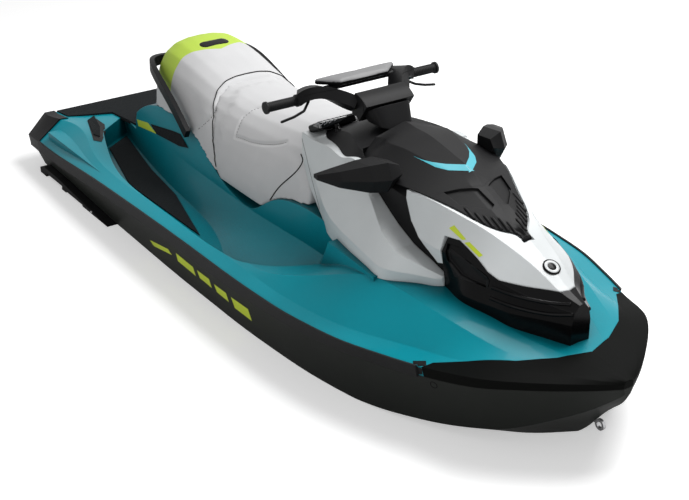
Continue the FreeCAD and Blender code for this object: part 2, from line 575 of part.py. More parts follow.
PANEL_TOP_SHARES = ((0.525, 0.325, 0.768), (0.56, 0.34, 0.774), (0.62, 0.36, 0.783),
                    (0.66, 0.385, 0.795), (0.69, 0.41, 0.74), (0.72, 0.43, 0.69),
                    (0.735, 0.43, 0.66), (0.76, 0.40, 0.62), (0.79, 0.30, 0.575))
PANEL_CAP_SHARES = ((0.525, 0.20, 0.77), (0.62, 0.20, 0.785), (0.66, 0.20, 0.795),
                    (0.735, 0.20, 0.70), (0.79, 0.20, 0.60))
PANEL_STATION_SHARES = (0.525, 0.545, 0.57, 0.60, 0.63, 0.66, 0.69, 0.715, 0.735, 0.755, 0.775,
                        0.79)
PANEL_FRONT_SHARES = ((0.655, 0.82), (0.660, 0.79), (0.70, 0.70), (0.72, 0.655), (0.743, 0.615),
                      (0.768, 0.59), (0.792, 0.56), (0.80, 0.50))
LID_EDGE_SHARES = ((0.64, 0.28, 0.80), (0.68, 0.35, 0.797), (0.706, 0.365, 0.793),
                   (0.735, 0.325, 0.787), (0.758, 0.275, 0.777), (0.785, 0.21, 0.758),
                   (0.806, 0.165, 0.74), (0.83, 0.08, 0.722), (0.846, 0.03, 0.712))
LID_RIDGE_SHARES = ((0.64, 0.20, 0.845), (0.68, 0.19, 0.852), (0.706, 0.155, 0.843),
                    (0.735, 0.11, 0.83), (0.758, 0.06, 0.815), (0.785, 0.06, 0.782),
                    (0.806, 0.06, 0.757), (0.83, 0.04, 0.729), (0.846, 0.015, 0.715))
LID_TOP_SHARES = ((0.64, 0, 0.873), (0.68, 0, 0.872), (0.706, 0, 0.862), (0.735, 0, 0.845),
                  (0.758, 0, 0.826), (0.775, 0, 0.80), (0.785, 0, 0.787), (0.806, 0, 0.76),
                  (0.83, 0, 0.731), (0.846, 0, 0.716))
LID_STATION_SHARES = (0.64, 0.66, 0.68, 0.706, 0.735, 0.758, 0.772, 0.785, 0.806, 0.83, 0.846)
LID_HOLLOW_SHARE = 0.80
# Recess on each side of the ridge of the lid's insert, in plan
RECESS_SHARES = ((0.757, 0.205), (0.7765, 0.035), (0.80, 0.022), (0.8035, 0.06), (0.781, 0.18))


def lid_skin(shrink=0.0):
    """Outer form of the front lid, or the hollow under its skin."""
    drop = size("lid_skin") if shrink else 0.0
    lines = [moved_line(line, -drop, -drop) for line in (LID_EDGE_SHARES, LID_RIDGE_SHARES)]
    top = moved_line(LID_TOP_SHARES, 0, -drop)
    stations = [x for x in LID_STATION_SHARES if not shrink or x < shrink]
    return skin(stations, lines + [top])


def lid_clearance():
    """Room that the upper works leave round the lid."""
    gap = size("move_gap")
    low = moved_line(LID_EDGE_SHARES, gap, -gap)
    high = tuple((x, y, 1.0) for x, y, z in low)
    room = skin(LID_STATION_SHARES, (low, high))
    behind = station_wire(LID_STATION_SHARES[0], (low, high))
    return room.fuse(Part.Face(behind).extrude(FORWARD * -gap))


def hinge_room():
    """Pocket for the lid's hinge barrel."""
    gap = size("move_gap")
    x, z, half = size("hinge_x"), size("hinge_z"), size("hinge_half") + gap
    radius = size("hinge_barrel") + 2 * gap
    barrel = rod(Vector(x, -half, z), Vector(x, half, z), radius)
    return barrel.fuse(block(x - radius, x + radius, -half, half, z, HEIGHT))


def bin_block():
    """Room for the storage bin."""
    x, half = size("bin_x"), size("bin_half")
    return block(x, x + size("bin_length"), -half, half, size("bin_floor"), HEIGHT)


def column_axis():
    """Foot and direction of the raked steering axis."""
    rake = math.radians(size("column_rake"))
    return (Vector(size("column_x"), 0, size("column_z")),
            Vector(-math.sin(rake), 0, math.cos(rake)))


def make_upper_works(deck):
    """Hood, grille, console and side panels, each standing on the deck."""
    nose = skin(NOSE_STATION_SHARES, (NOSE_FOOT_SHARES, NOSE_BASE_SHARES, NOSE_SIDE_SHARES,
                                      NOSE_EDGE_SHARES, NOSE_TOP_SHARES))
    console = skin(CONSOLE_STATION_SHARES, (CONSOLE_FOOT_SHARES, CONSOLE_SIDE_SHARES,
                                            CONSOLE_EDGE_SHARES, CONSOLE_TOP_SHARES))
    panel = skin(PANEL_STATION_SHARES, (PANEL_IN_SHARES, PANEL_FOOT_SHARES, PANEL_BELT_SHARES,
                                        PANEL_TOP_SHARES, PANEL_CAP_SHARES), side_wire)
    room = lid_clearance()
    pocket = bin_block()
    hood_line = [(x * LENGTH, z * HEIGHT) for x, z in HOOD_REAR_SHARES]
    above = side_prism(hood_line + [(LENGTH, hood_line[-1][1]), (LENGTH, HEIGHT),
                                    (hood_line[0][0], HEIGHT)], BEAM)
    rear_x = hood_line[5][0]
    ahead = block(rear_x, LENGTH, -BEAM, BEAM, 0, HEIGHT)
    x, z = size("hinge_x"), size("hinge_z")
    reach = size("hinge_half") + 2 * size("move_gap")
    pin = rod(Vector(x, -reach, z), Vector(x, reach, z), size("hinge_pin"))
    hood = nose.common(above).cut([deck, room, pocket, hinge_room()]).fuse(pin)
    grille = nose.cut(above).common(ahead).cut([deck, room, pocket])
    core = skin(NOSE_STATION_SHARES, [moved_line(line, -size("vent_depth"), 0) for line in (
        NOSE_FOOT_SHARES, NOSE_BASE_SHARES, NOSE_SIDE_SHARES, NOSE_EDGE_SHARES)]
                + [NOSE_TOP_SHARES])
    vent = side_prism([(x * LENGTH, z * HEIGHT) for x, z in VENT_SHARES], BEAM).cut(core)
    grille = main_piece(grille.cut(vent))
    keep(hood, "nose_hood")
    keep(grille, "nose_grille")
    rear = [(x * LENGTH, z * HEIGHT) for x, z in PANEL_REAR_SHARES]
    seat_room = side_prism(rear + [(0, rear[-1][1]), (0, rear[0][1])], BEAM)
    foot, axis = column_axis()
    boss = rod(foot - axis * size("boss_length"), foot, size("column_radius"))
    bore = rod(foot - axis * (size("stem_length") + size("fit_gap")), foot + axis * OVER,
               size("stem_radius") + size("fit_gap"))
    swing = rod(foot, foot + axis * size("column_length"),
                size("column_radius") + size("move_gap"))
    console = console.fuse(boss).cut([deck, hood, grille, room, pocket, seat_room, bore, swing])
    console = main_piece(console)
    front = [(x * LENGTH, z * HEIGHT) for x, z in PANEL_FRONT_SHARES]
    panel_ahead = side_prism(front + [(LENGTH, front[-1][1]), (LENGTH, front[0][1])], BEAM)
    panel = main_piece(panel.cut([deck, seat_room, panel_ahead, console, hood, grille]))
    keep(console, "console_body")
    keep(panel, "side_panel_right")
    keep(mirrored(panel), "side_panel_left")
    lid_room = doc.addObject("Part::Feature", "lid_room")
    lid_room.Shape = room
    lid_room.Placement = Placement(SHIFT, Rotation())
    return lid_room


def make_lid():
    """Front lid: panel with a hollow under its skin, insert with V recesses, hinge barrel."""
    whole = lid_skin()
    hollow = lid_skin(LID_HOLLOW_SHARE)
    split = size("lid_split")
    aft = split - size("lid_sweep")
    edge = plan_prism([(0, -BEAM), (aft, -BEAM), (split, 0), (aft, BEAM), (0, BEAM)], 0, HEIGHT)
    front = plan_prism([(LENGTH, -BEAM), (aft, -BEAM), (split, 0), (aft, BEAM), (LENGTH, BEAM)],
                       0, HEIGHT)
    panel = whole.common(edge).cut(hollow)
    x, z, half = size("hinge_x"), size("hinge_z"), size("hinge_half")
    barrel = rod(Vector(x, -half, z), Vector(x, half, z), size("hinge_barrel"))
    hole = rod(Vector(x, -half - OVER, z), Vector(x, half + OVER, z),
               size("hinge_pin") + size("fit_gap"))
    floor = whole.copy()
    floor.translate(UP * -size("recess_depth"))
    recess = plan_prism(plan_shares(RECESS_SHARES), 0, HEIGHT).cut(floor)
    insert = whole.common(front).cut([hollow, recess, mirrored(recess)]).fuse(barrel).cut(hole)
    keep(panel, "lid_panel")
    keep(insert, "lid_insert")
    make_mirrors(whole)


# Mirror housing: sections from the root on the lid out to the tip
MIRROR_SHARES = (
    # forward, off centre, height, half length, half height
    (0.703, 0.32, 0.820, 0.0105, 0.024),
    (0.699, 0.395, 0.812, 0.0145, 0.048),
    (0.688, 0.47, 0.803, 0.0135, 0.044),
    (0.668, 0.58, 0.790, 0.0085, 0.026),
    (0.651, 0.65, 0.783, 0.0030, 0.008),
)
# Corners of such a section, forward and up, in shares of its half length and half height
MIRROR_RING_SHARES = ((-1.0, -0.6), (1.0, -1.0), (1.6, 0.0), (1.0, 1.0), (-1.0, 0.8))


def make_mirrors(lid):
    """Mirror housings on the lid's sides."""
    wires = []
    for x, y, z, long_half, high_half in MIRROR_SHARES:
        ring = [spot(x + a * long_half, -y, z + b * high_half) for a, b in MIRROR_RING_SHARES]
        wires.append(Part.makePolygon(ring + [ring[0]]))
    mirror = Part.makeLoft(wires, True, True).cut(lid)
    keep(mirror, "mirror_right")
    keep(mirrored(mirror), "mirror_left")


# Line of the grab rail: forward, off centre, height
RAIL_SHARES = ((0.150, 0.0, 0.690), (0.150, 0.18, 0.694), (0.158, 0.31, 0.700),
               (0.180, 0.375, 0.698), (0.225, 0.42, 0.66), (0.27, 0.445, 0.60),
               (0.297, 0.455, 0.55))


def make_grab_rail(deck):
    """Handrail round the back of the seat, with a post and two feet on the pedestal."""
    points = [spot(x, -y, z) for x, y, z in RAIL_SHARES]
    rail = bar_along(points, size("rail_wide"), size("rail_thick"), UP)
    other = mirrored(rail)
    half, deep = size("post_half"), size("post_deep")
    x = points[0].x
    post = block(x - deep / 2, x + deep / 2, -half, half, SEAT_FOOT_SHARE * HEIGHT,
                 points[0].z)
    whole = rail.fuse([other, post]).cut([deck, shapes["seat_rear"], shapes["seat_front"]])
    keep(main_piece(whole), "grab_rail")


def bound(text):
    """Expression on the spreadsheet for a formula written in its aliases."""
    return re.sub(r"[a-z_]+", lambda word: "Sizes." + word[0] if word[0] in SIZES else word[0],
                  text)


def amount(text):
    """Value of a formula written in the spreadsheet's aliases."""
    found = sheet.evalExpression(bound(text))
    return float(getattr(found, "Value", found))


def bind(obj, **formulas):
    """Binds properties to formulas; a double underscore stands for a dot."""
    for name, text in formulas.items():
        obj.setExpression(name.replace("__", "."), bound(text))


def seat_at(obj, x="0", y="0", z="0", turn=Rotation()):
    """Places an object in the craft's frame, at formulas from the stern, centreline and keel."""
    obj.Placement = Placement(Vector(), turn)
    bind(obj, Placement__Base__x=f"{x} - hull_length / 2", Placement__Base__y=y,
         Placement__Base__z=f"{z} - draught")


def new_body(name, **place):
    """Empty body at a place in the craft's frame."""
    body = doc.addObject("PartDesign::Body", name)
    body.Label = name
    seat_at(body, **place)
    return body


def origin_item(body, role):
    """One of a body's own planes or axes."""
    return next(item for item in body.Origin.OriginFeatures if item.Role == role)


def sketch_on(body, role, off="0"):
    """Sketch on a body's plane, a formula off it along the plane's normal."""
    made = body.newObject("Sketcher::SketchObject", f"{body.Name}_{role}")
    made.AttachmentSupport = [(origin_item(body, role), "")]
    made.MapMode = "FlatFace"
    bind(made, AttachmentOffset__Base__z=off)
    return made


def pin_point(made, line, end, x, y):
    """Holds a point of a sketch at two formulas."""
    for kind, text, axis in (("DistanceX", x, -2), ("DistanceY", y, -1)):
        value = amount(text)
        if value:
            index = made.addConstraint(Sketcher.Constraint(kind, -1, 1, line, end, value))
            made.setExpression(f"Constraints[{index}]", bound(text))
        else:
            made.addConstraint(Sketcher.Constraint("PointOnObject", line, end, axis))


def outline_on(body, role, corners, off="0"):
    """Sketch of one closed outline through corners given as formulas."""
    made = sketch_on(body, role, off)
    points = [Vector(amount(x), amount(y), 0) for x, y in corners]
    for start, end in zip(points, points[1:] + points[:1]):
        made.addGeometry(Part.LineSegment(start, end))
    for index, (x, y) in enumerate(corners):
        after = (index + 1) % len(corners)
        made.addConstraint(Sketcher.Constraint("Coincident", index, 2, after, 1))
        pin_point(made, index, 1, x, y)
    return made


def circles_on(body, role, circles, off="0"):
    """Sketch of circles, each given by formulas for its centre and radius."""
    made = sketch_on(body, role, off)
    for line, (x, y, radius) in enumerate(circles):
        centre = Vector(amount(x), amount(y), 0)
        made.addGeometry(Part.Circle(centre, Vector(0, 0, 1), amount(radius)))
        index = made.addConstraint(Sketcher.Constraint("Radius", line, amount(radius)))
        made.setExpression(f"Constraints[{index}]", bound(radius))
        pin_point(made, line, 3, x, y)
    return made


def feature(body, kind, profile, **formulas):
    """Feature of a body made from one sketch."""
    made = body.newObject("PartDesign::" + kind, f"{profile.Name}_{kind}")
    made.Profile = profile
    bind(made, **formulas)
    return made


def pad(body, profile, length, both=False, back=False):
    """Pad of a sketch, to both sides of its plane or backwards if asked."""
    made = feature(body, "Pad", profile, Length=length)
    made.Midplane = both
    made.Reversed = back
    return made


def bore(body, profile, length):
    """Hole through both sides of a sketch's plane."""
    made = feature(body, "Pocket", profile, Length=length)
    made.Midplane = True
    return made


def turned(body, profile, axis="H_Axis"):
    """Body of revolution of a sketch."""
    made = body.newObject("PartDesign::Revolution", f"{profile.Name}_turned")
    made.Profile = profile
    made.ReferenceAxis = (profile, [axis])
    made.Angle = 360
    return made


def pattern(body, kind, originals, **settings):
    """Pattern or mirror of features, which becomes the body's tip."""
    made = body.newObject("PartDesign::" + kind, f"{originals[0].Name}_{kind}")
    made.Originals = originals
    for name, value in settings.items():
        setattr(made, name, value)
    body.Tip = made
    return made


def cut(name, base, *tools):
    """Base without its tools."""
    for index, tool in enumerate(tools):
        made = doc.addObject("Part::Cut", name if tool is tools[-1] else f"{name}_{index}")
        made.Base = base
        made.Tool = tool
        base = made
    return base


def reflected(name, source):
    """Source on the other side of the centreline."""
    made = doc.addObject("Part::Mirroring", name)
    made.Source = source
    made.Normal = PORT
    return made


def both_sides(name, source):
    """Pair of like pieces in one sub-part."""
    made = doc.addObject("Part::Compound", name)
    made.Links = [source, reflected(name + "_port", source)]
    return made


def box(name, length, width, height, **place):
    """Box across the centreline, from a corner low, aft and to starboard."""
    made = doc.addObject("Part::Box", name)
    bind(made, Length=length, Width=width, Height=height)
    seat_at(made, y=f"-({width}) / 2", **place)
    return made


def shaft(name, radius, length, **place):
    """Cylinder along the craft."""
    made = doc.addObject("Part::Cylinder", name)
    bind(made, Radius=radius, Height=length)
    seat_at(made, turn=Rotation(UP, FORWARD), **place)
    return made


def finished(obj, label=None):
    """Adds an object to the sub-parts that are written out."""
    obj.Label = label or obj.Label
    parts.append(obj)
    return obj


def made_shape(label):
    """Object of a sub-part that is already made."""
    return next(obj for obj in parts if obj.Label == label)


# Sponson: its side view and the shares of its length at which the pockets part
SPONSON_SHARES = ((0.0, 0.90), (0.0, 0.35), (0.055, 0.02), (0.80, 0.16), (0.95, 0.30), (1.0, 0.52),
                  (0.95, 0.68), (0.25, 1.0), (0.05, 1.0))
POCKET_EDGE_SHARES = (0.04, 0.31, 0.585, 0.86)
POCKET_LOW_SHARE, POCKET_TOP_SHARE, POCKET_FALL_SHARE = 0.24, 0.92, 0.28


def make_sponsons():
    """Stabilizing fins on the hull's sides, each with three open pockets."""
    body = new_body("sponson_form")
    profile = [(f"sponson_x + {x} * sponson_length", f"sponson_z + {z} * sponson_height")
               for x, z in SPONSON_SHARES]
    pad(body, outline_on(body, "XZ_Plane", profile, "sponson_y"), "sponson_root", back=True)
    low = f"sponson_z + {POCKET_LOW_SHARE} * sponson_height"
    for start, end in zip(POCKET_EDGE_SHARES, POCKET_EDGE_SHARES[1:]):
        top = POCKET_TOP_SHARE - POCKET_FALL_SHARE * end
        aft = f"sponson_x + {start} * sponson_length + sponson_web"
        ahead = f"sponson_x + {end} * sponson_length"
        high = f"sponson_z + {top} * sponson_height"
        corners = [(aft, low), (f"{ahead} - 2 * sponson_web", low), (ahead, high),
                   (f"{aft} + 2 * sponson_web", high)]
        feature(body, "Pocket", outline_on(body, "XZ_Plane", corners, "sponson_y"),
                Length="pocket_depth")
    right = finished(cut("sponson_right", body, made_shape("hull")))
    finished(reflected("sponson_left", right))


def make_pump_housing():
    """Pump housing: flanged barrel, cone and outlet, six stator vanes, hub, lugs and pins."""
    body = finished(new_body("pump_housing", z="pump_z"))
    wall = [("tunnel_end", "rim_radius"), ("tunnel_end - rim_thick", "rim_radius"),
            ("tunnel_end - rim_thick", "pump_radius"), ("cone_x", "pump_radius"),
            ("neck_x", "outlet_radius"), ("outlet_x", "outlet_radius"),
            ("outlet_x", "outlet_bore"), ("neck_x", "outlet_bore"), ("cone_x", "pump_bore"),
            ("tunnel_end", "pump_bore")]
    turned(body, outline_on(body, "XZ_Plane", wall))
    foot = "(hub_radius + shaft_radius) / 2"
    tip = "(pump_bore + pump_radius) / 2"
    fall = "(pump_bore + pump_radius - outlet_bore - outlet_radius) / 2"
    vane = [("vane_x", foot), ("vane_x + vane_length", foot), ("vane_x + vane_length", tip),
            ("cone_x", tip), ("vane_x", f"{tip} - {fall} * (cone_x - vane_x) / (cone_x - neck_x)")]
    first = pad(body, outline_on(body, "XZ_Plane", vane), "vane_thick", both=True)
    pattern(body, "PolarPattern", [first], Axis=(origin_item(body, "X_Axis"), [""]), Angle=360,
            Occurrences=6)
    hub = [("vane_x", "0"), ("vane_x", "hub_radius - vane_thick"),
           ("vane_x + vane_thick", "hub_radius"), ("vane_x + vane_length", "hub_radius"),
           ("vane_x + vane_length", "shaft_radius + fit_gap"),
           ("vane_x + vane_thick", "shaft_radius + fit_gap"), ("vane_x + vane_thick", "0")]
    turned(body, outline_on(body, "XZ_Plane", hub))
    lug = [("lug_x", "lug_low"), ("cone_x + cut_over", "lug_low"),
           ("cone_x + cut_over", "lug_low + lug_thick"), ("lug_x", "lug_low + lug_thick")]
    upper = [pad(body, outline_on(body, "XZ_Plane", lug), "2 * lug_half", both=True),
             pad(body, circles_on(body, "XY_Plane", [("pivot_x", "0", "pivot_pin")],
                                  "nozzle_inlet + fit_gap"),
                 "lug_low + lug_thick - nozzle_inlet - fit_gap")]
    pattern(body, "Mirrored", upper, MirrorPlane=(origin_item(body, "XY_Plane"), [""]))
    arm = [("bucket_x - arm_half", "-arm_half"), ("cone_x + 2 * cut_over", "-arm_half"),
           ("cone_x + 2 * cut_over", "arm_half"), ("bucket_x - arm_half", "arm_half")]
    side = [pad(body, outline_on(body, "XZ_Plane", arm, "arm_in"), "arm_thick"),
            pad(body, circles_on(body, "XZ_Plane", [("bucket_x", "0", "arm_pin")], "arm_in"),
                "bucket_in + bucket_thick + fit_gap - arm_in")]
    pattern(body, "Mirrored", side, MirrorPlane=(origin_item(body, "XZ_Plane"), [""]))


def make_nozzle():
    """Steering nozzle: a cone with a bored boss above and below, on the housing's pins."""
    body = finished(new_body("steering_nozzle", z="pump_z"))
    wall = [("nozzle_x", "nozzle_inlet"), ("nozzle_x", "nozzle_inlet + nozzle_wall"),
            ("nozzle_end", "nozzle_mouth + nozzle_wall"), ("nozzle_end", "nozzle_mouth")]
    turned(body, outline_on(body, "XZ_Plane", wall))
    boss = circles_on(body, "XY_Plane", [("pivot_x", "0", "boss_radius")],
                      "nozzle_inlet - fit_gap")
    upper = pad(body, boss, "lug_low - nozzle_inlet")
    pattern(body, "Mirrored", [upper], MirrorPlane=(origin_item(body, "XY_Plane"), [""]))
    hole = circles_on(body, "XY_Plane", [("pivot_x", "0", "pivot_pin + fit_gap")])
    bore(body, hole, "2 * (lug_low + cut_over)")


def make_bucket():
    """Reverse bucket: a channel turned about its pins, open to the jet at rest."""
    body = finished(new_body("reverse_bucket", x="bucket_x", z="pump_z"))
    outer = "bucket_in + bucket_thick"
    channel = [(f"-({outer})", "0"), (f"-({outer})", "bucket_radius"), (outer, "bucket_radius"),
               (outer, "0"), ("bucket_in", "0"), ("bucket_in", "bucket_radius - bucket_thick"),
               ("-bucket_in", "bucket_radius - bucket_thick"), ("-bucket_in", "0")]
    swept = turned(body, outline_on(body, "YZ_Plane", channel))
    bind(swept, Angle="bucket_span")
    swept.Reversed = True
    disc = circles_on(body, "XZ_Plane", [("0", "0", "arm_half")], "bucket_in")
    ear = pad(body, disc, "bucket_thick")
    pattern(body, "Mirrored", [ear], MirrorPlane=(origin_item(body, "XZ_Plane"), [""]))
    hole = circles_on(body, "XZ_Plane", [("0", "0", "arm_pin + fit_gap")])
    bore(body, hole, f"2 * ({outer} + cut_over)")


def make_impeller():
    """Impeller with four pitched blades, and the drive shaft that carries it."""
    body = finished(new_body("impeller", x="impeller_x", z="pump_z"))
    hub = circles_on(body, "YZ_Plane", [("0", "0", "hub_radius")])
    pad(body, hub, "impeller_length")
    sections = []
    for level, pitch in (("hub_radius / 2", "root_pitch"), ("pump_bore", "tip_pitch")):
        corners = []
        for a, b in ((-1, -1), (1, -1), (1, 1), (-1, 1)):
            along, across = f"{a} * blade_chord / 2", f"{b} * blade_thick / 2"
            corners.append((f"impeller_length / 2 + {along} * cos({pitch}) - {across} * sin({pitch})",
                            f"{along} * sin({pitch}) + {across} * cos({pitch})"))
        sections.append(outline_on(body, "XY_Plane", corners, level))
    blade = body.newObject("PartDesign::AdditiveLoft", "blade")
    blade.Profile = sections[0]
    blade.Sections = sections[1:]
    pattern(body, "PolarPattern", [blade], Axis=(origin_item(body, "X_Axis"), [""]), Angle=360,
            Occurrences=4)
    tip = "pump_bore - move_gap"
    rim = outline_on(body, "XZ_Plane", [
        ("-blade_chord", tip), ("impeller_length + blade_chord", tip),
        ("impeller_length + blade_chord", "2 * pump_bore"), ("-blade_chord", "2 * pump_bore")])
    trim = body.newObject("PartDesign::Groove", "blade_tips")
    trim.Profile = rim
    trim.ReferenceAxis = (rim, ["H_Axis"])
    trim.Angle = 360
    for end, back in (("0", False), ("impeller_length", True)):
        face = circles_on(body, "YZ_Plane", [("0", "0", "2 * pump_bore")], end)
        square = feature(body, "Pocket", face, Length="blade_chord")
        square.Reversed = back
    hole = circles_on(body, "YZ_Plane", [("0", "0", "shaft_radius")])
    bore(body, hole, "4 * impeller_length")
    start = "vane_x + vane_thick + shaft_clear"
    finished(shaft("drive_shaft", "shaft_radius", f"shaft_end - ({start})", x=start, z="pump_z"))


def make_intake():
    """Ride plate under the pump and the grate across the intake."""
    finished(box("ride_plate", "tunnel_end - plate_x", "2 * (tunnel_half - fit_gap)", "plate_thick",
                 x="plate_x", z="pump_z - rim_radius - plate_thick - fit_gap"))
    body = finished(new_body("intake_grate"))
    top = "(bar_z + bar_high)"
    slant = "(duct_end - tunnel_end + cut_over) / duct_roof"
    rung = [("tunnel_end", "bar_z"), ("tunnel_end + bar_wide", "bar_z"),
            ("tunnel_end + bar_wide", top), ("tunnel_end", top)]
    pad(body, outline_on(body, "XZ_Plane", rung), "2 * duct_half", both=True)
    tine = [("tunnel_end", "bar_z"), (f"duct_end - bar_z * {slant}", "bar_z"),
            (f"duct_end - {top} * {slant}", top), ("tunnel_end", top)]
    first = pad(body, outline_on(body, "XZ_Plane", tine, "2 * bar_pitch"), "bar_wide", both=True)
    row = pattern(body, "LinearPattern", [first], Direction=(origin_item(body, "Y_Axis"), [""]),
                  Occurrences=5)
    bind(row, Length="4 * bar_pitch")


def make_engine():
    """Engine with its driven end on the shaft line, one plain block."""
    casing = box("engine_casing", "engine_length", "engine_width", "engine_height",
                 x="shaft_end - cut_over", z="bay_floor + fit_gap")
    socket = shaft("engine_socket", "shaft_radius + shaft_clear", "shaft_end + shaft_clear",
                   z="pump_z")
    finished(cut("engine_block", casing, socket))


def make_bin(room):
    """Storage bin under the lid: thin walls, open at the top where the lid's room begins."""
    outside = box("bin_outside", "bin_length", "2 * bin_half", "height_base - bin_floor",
                  x="bin_x", z="bin_floor")
    inside = box("bin_inside", "bin_length - 2 * bin_wall", "2 * (bin_half - bin_wall)",
                 "height_base - bin_floor", x="bin_x + bin_wall", z="bin_floor + bin_wall")
    finished(cut("storage_bin", outside, inside, room))


def eye_form(name, ring_plane):
    """Ring on a shank that runs forward."""
    body = new_body(name)
    ring = circles_on(body, ring_plane, [("0", "0", "eye_radius"), ("0", "0", "eye_hole")])
    pad(body, ring, "eye_thick", both=True)
    root = "(eye_radius + eye_hole) / 2"
    shank = circles_on(body, "YZ_Plane", [("0", "0", "eye_shank")], root)
    pad(body, shank, f"2 * eye_out - {root}")
    return body


def make_eyes():
    """Tow eye on the stem and two on the transom, each cut off where it enters the hull."""
    level = size("bow_eye_z")
    pairs = [(z * HEIGHT, x * LENGTH) for x, y, z in KEEL_SHARES if z > 0]
    body = eye_form("bow_eye_form", "XZ_Plane")
    seat_at(body, x=f"{value_at(pairs, level) / LENGTH} * hull_length + eye_out", z="bow_eye_z",
            turn=Rotation(FORWARD, FORWARD * -1))
    finished(cut("bow_eye", body, made_shape("hull")))
    body = eye_form("stern_eye_form", "XY_Plane")
    seat_at(body, x="transom_x - eye_out", y="-stern_eye_y", z="stern_eye_z")
    finished(both_sides("stern_eyes", cut("stern_eye_right", body, made_shape("hull"))))


# Steering cover: places along a side arm, forward of the grip, off the centreline and above
# the grip, and half sections of the casing round the column, as shares of the grip's inner end
ARM_SHARES = ((0.0, 0.98, 0.03), (0.14, 0.76, 0.12), (0.36, 0.58, 0.09), (0.64, 0.36, 0.0))
ARM_WIDE_SHARE, ARM_THICK_SHARE = 0.27, 0.18
CASING_SHARES = ((0.86, -0.07), (0.76, 0.0), (0.62, 0.03))
CASING_WIDE_SHARE, CASING_THICK_SHARE = 0.86, 0.34
# Lever: places from inside the cover out to its tip, in the same shares
LEVER_SHARES = ((0.08, 0.86, -0.02), (0.20, 1.02, -0.10), (0.21, 1.20, -0.15), (0.19, 1.40, -0.19))


def make_steering():
    """Column, bar, covers, pad, grips and levers, all turning on the raked axis."""
    rake = size("column_rake")
    column = finished(new_body("steering_column", x="column_x", z="column_z",
                               turn=Rotation(PORT, -rake)))
    pad(column, circles_on(column, "XY_Plane", [("0", "0", "column_radius")], "move_gap"),
        "column_length - move_gap")
    stem = circles_on(column, "XY_Plane", [("0", "0", "stem_radius")], "-stem_length")
    pad(column, stem, "stem_length + column_length")

    bar = finished(new_body("handlebar", x="grip_x", z="grip_z",
                            turn=Rotation(PORT, -size("bar_tilt"))))
    route = sketch_on(bar, "XY_Plane")
    knee = "(grip_inner - cut_over)"
    places = [("0", "-grip_end"), ("0", f"-{knee}"), ("bend_rise", "-bend_y"),
              ("bend_rise", "bend_y"), ("0", knee), ("0", "grip_end")]
    points = [Vector(amount(x), amount(y), 0) for x, y in places]
    for index, (start, end) in enumerate(zip(points, points[1:])):
        route.addGeometry(Part.LineSegment(start, end))
        if index:
            route.addConstraint(Sketcher.Constraint("Coincident", index - 1, 2, index, 1))
        pin_point(route, index, 1, *places[index])
    pin_point(route, len(points) - 2, 2, *places[-1])
    tube = body_pipe(bar, circles_on(bar, "XZ_Plane", [("0", "0", "bar_radius")], "grip_end"),
                     route)
    doc.recompute()

    sleeve = new_body("grip_form", x="grip_x", z="grip_z")
    grip = [("bar_radius", "-grip_end"), ("flange_radius", "-grip_end"),
            ("flange_radius", "flange_thick - grip_end"), ("grip_radius", "flange_thick - grip_end"),
            ("grip_radius", "-flange_thick - grip_inner"),
            ("flange_radius", "-flange_thick - grip_inner"), ("flange_radius", "-grip_inner"),
            ("bar_radius", "-grip_inner")]
    turned(sleeve, outline_on(sleeve, "XY_Plane", grip), "V_Axis")
    finished(both_sides("grips", sleeve))

    reach = size("grip_inner")
    base = Vector(size("grip_x"), 0, size("grip_z"))

    def place(x, y, z):
        return base + Vector(x * reach, -y * reach, z * reach)

    doc.recompute()
    solid_bar = unplaced(bar)
    solid_column = unplaced(column)
    solid_grip = unplaced(sleeve)
    arm = bar_along([place(*row) for row in ARM_SHARES], ARM_WIDE_SHARE * reach,
                    ARM_THICK_SHARE * reach, FORWARD + UP * ARM_WIDE_SHARE)
    casing = bar_along([place(x, 0, z) for x, z in CASING_SHARES], CASING_WIDE_SHARE * reach,
                       CASING_THICK_SHARE * reach, PORT)
    cover = arm.fuse([mirrored(arm), casing]).cut([solid_bar, solid_column, solid_grip,
                                                   mirrored(solid_grip)])
    keep(main_piece(cover), "handlebar_cover")
    lever = None
    for start, end in zip(LEVER_SHARES, LEVER_SHARES[1:]):
        run = rod(place(*start), place(*end), size("lever_radius"))
        joint = Part.makeSphere(size("lever_radius"), place(*end))
        lever = run.fuse(joint) if lever is None else lever.fuse([run, joint])
    lever = main_piece(lever.cut(cover))
    keep(Part.makeCompound([lever, mirrored(lever)]), "levers")

    cushion = new_body("pad_form", x="grip_x + bend_rise * cos(bar_tilt)",
                       z="grip_z + bend_rise * sin(bar_tilt) + bar_radius + fit_gap")
    plan = [("-pad_deep / 2", "-pad_half"), ("pad_deep / 2", "-pad_front_half"),
            ("pad_deep / 2", "pad_front_half"), ("-pad_deep / 2", "pad_half")]
    top = pad(cushion, outline_on(cushion, "XY_Plane", plan), "pad_thick")
    doc.recompute()
    rounded = cushion.newObject("PartDesign::Fillet", "pad_rounding")
    rounded.Base = (top, [f"Edge{index + 1}" for index in range(len(top.Shape.Edges))])
    bind(rounded, Radius="pad_round")
    finished(cut("handlebar_pad", cushion, made_shape("handlebar_cover"), bar))


def body_pipe(body, profile, route):
    """Tube of a profile along a route."""
    made = body.newObject("PartDesign::AdditivePipe", f"{body.Name}_tube")
    made.Profile = profile
    made.Spine = (route, [f"Edge{index + 1}" for index in range(route.GeometryCount)])
    made.Transition = "Round corner"
    return made


def unplaced(obj):
    """Shape of an object in the frame of the stern and keel."""
    shape = obj.Shape.copy()
    shape.translate(SHIFT * -1)
    return shape


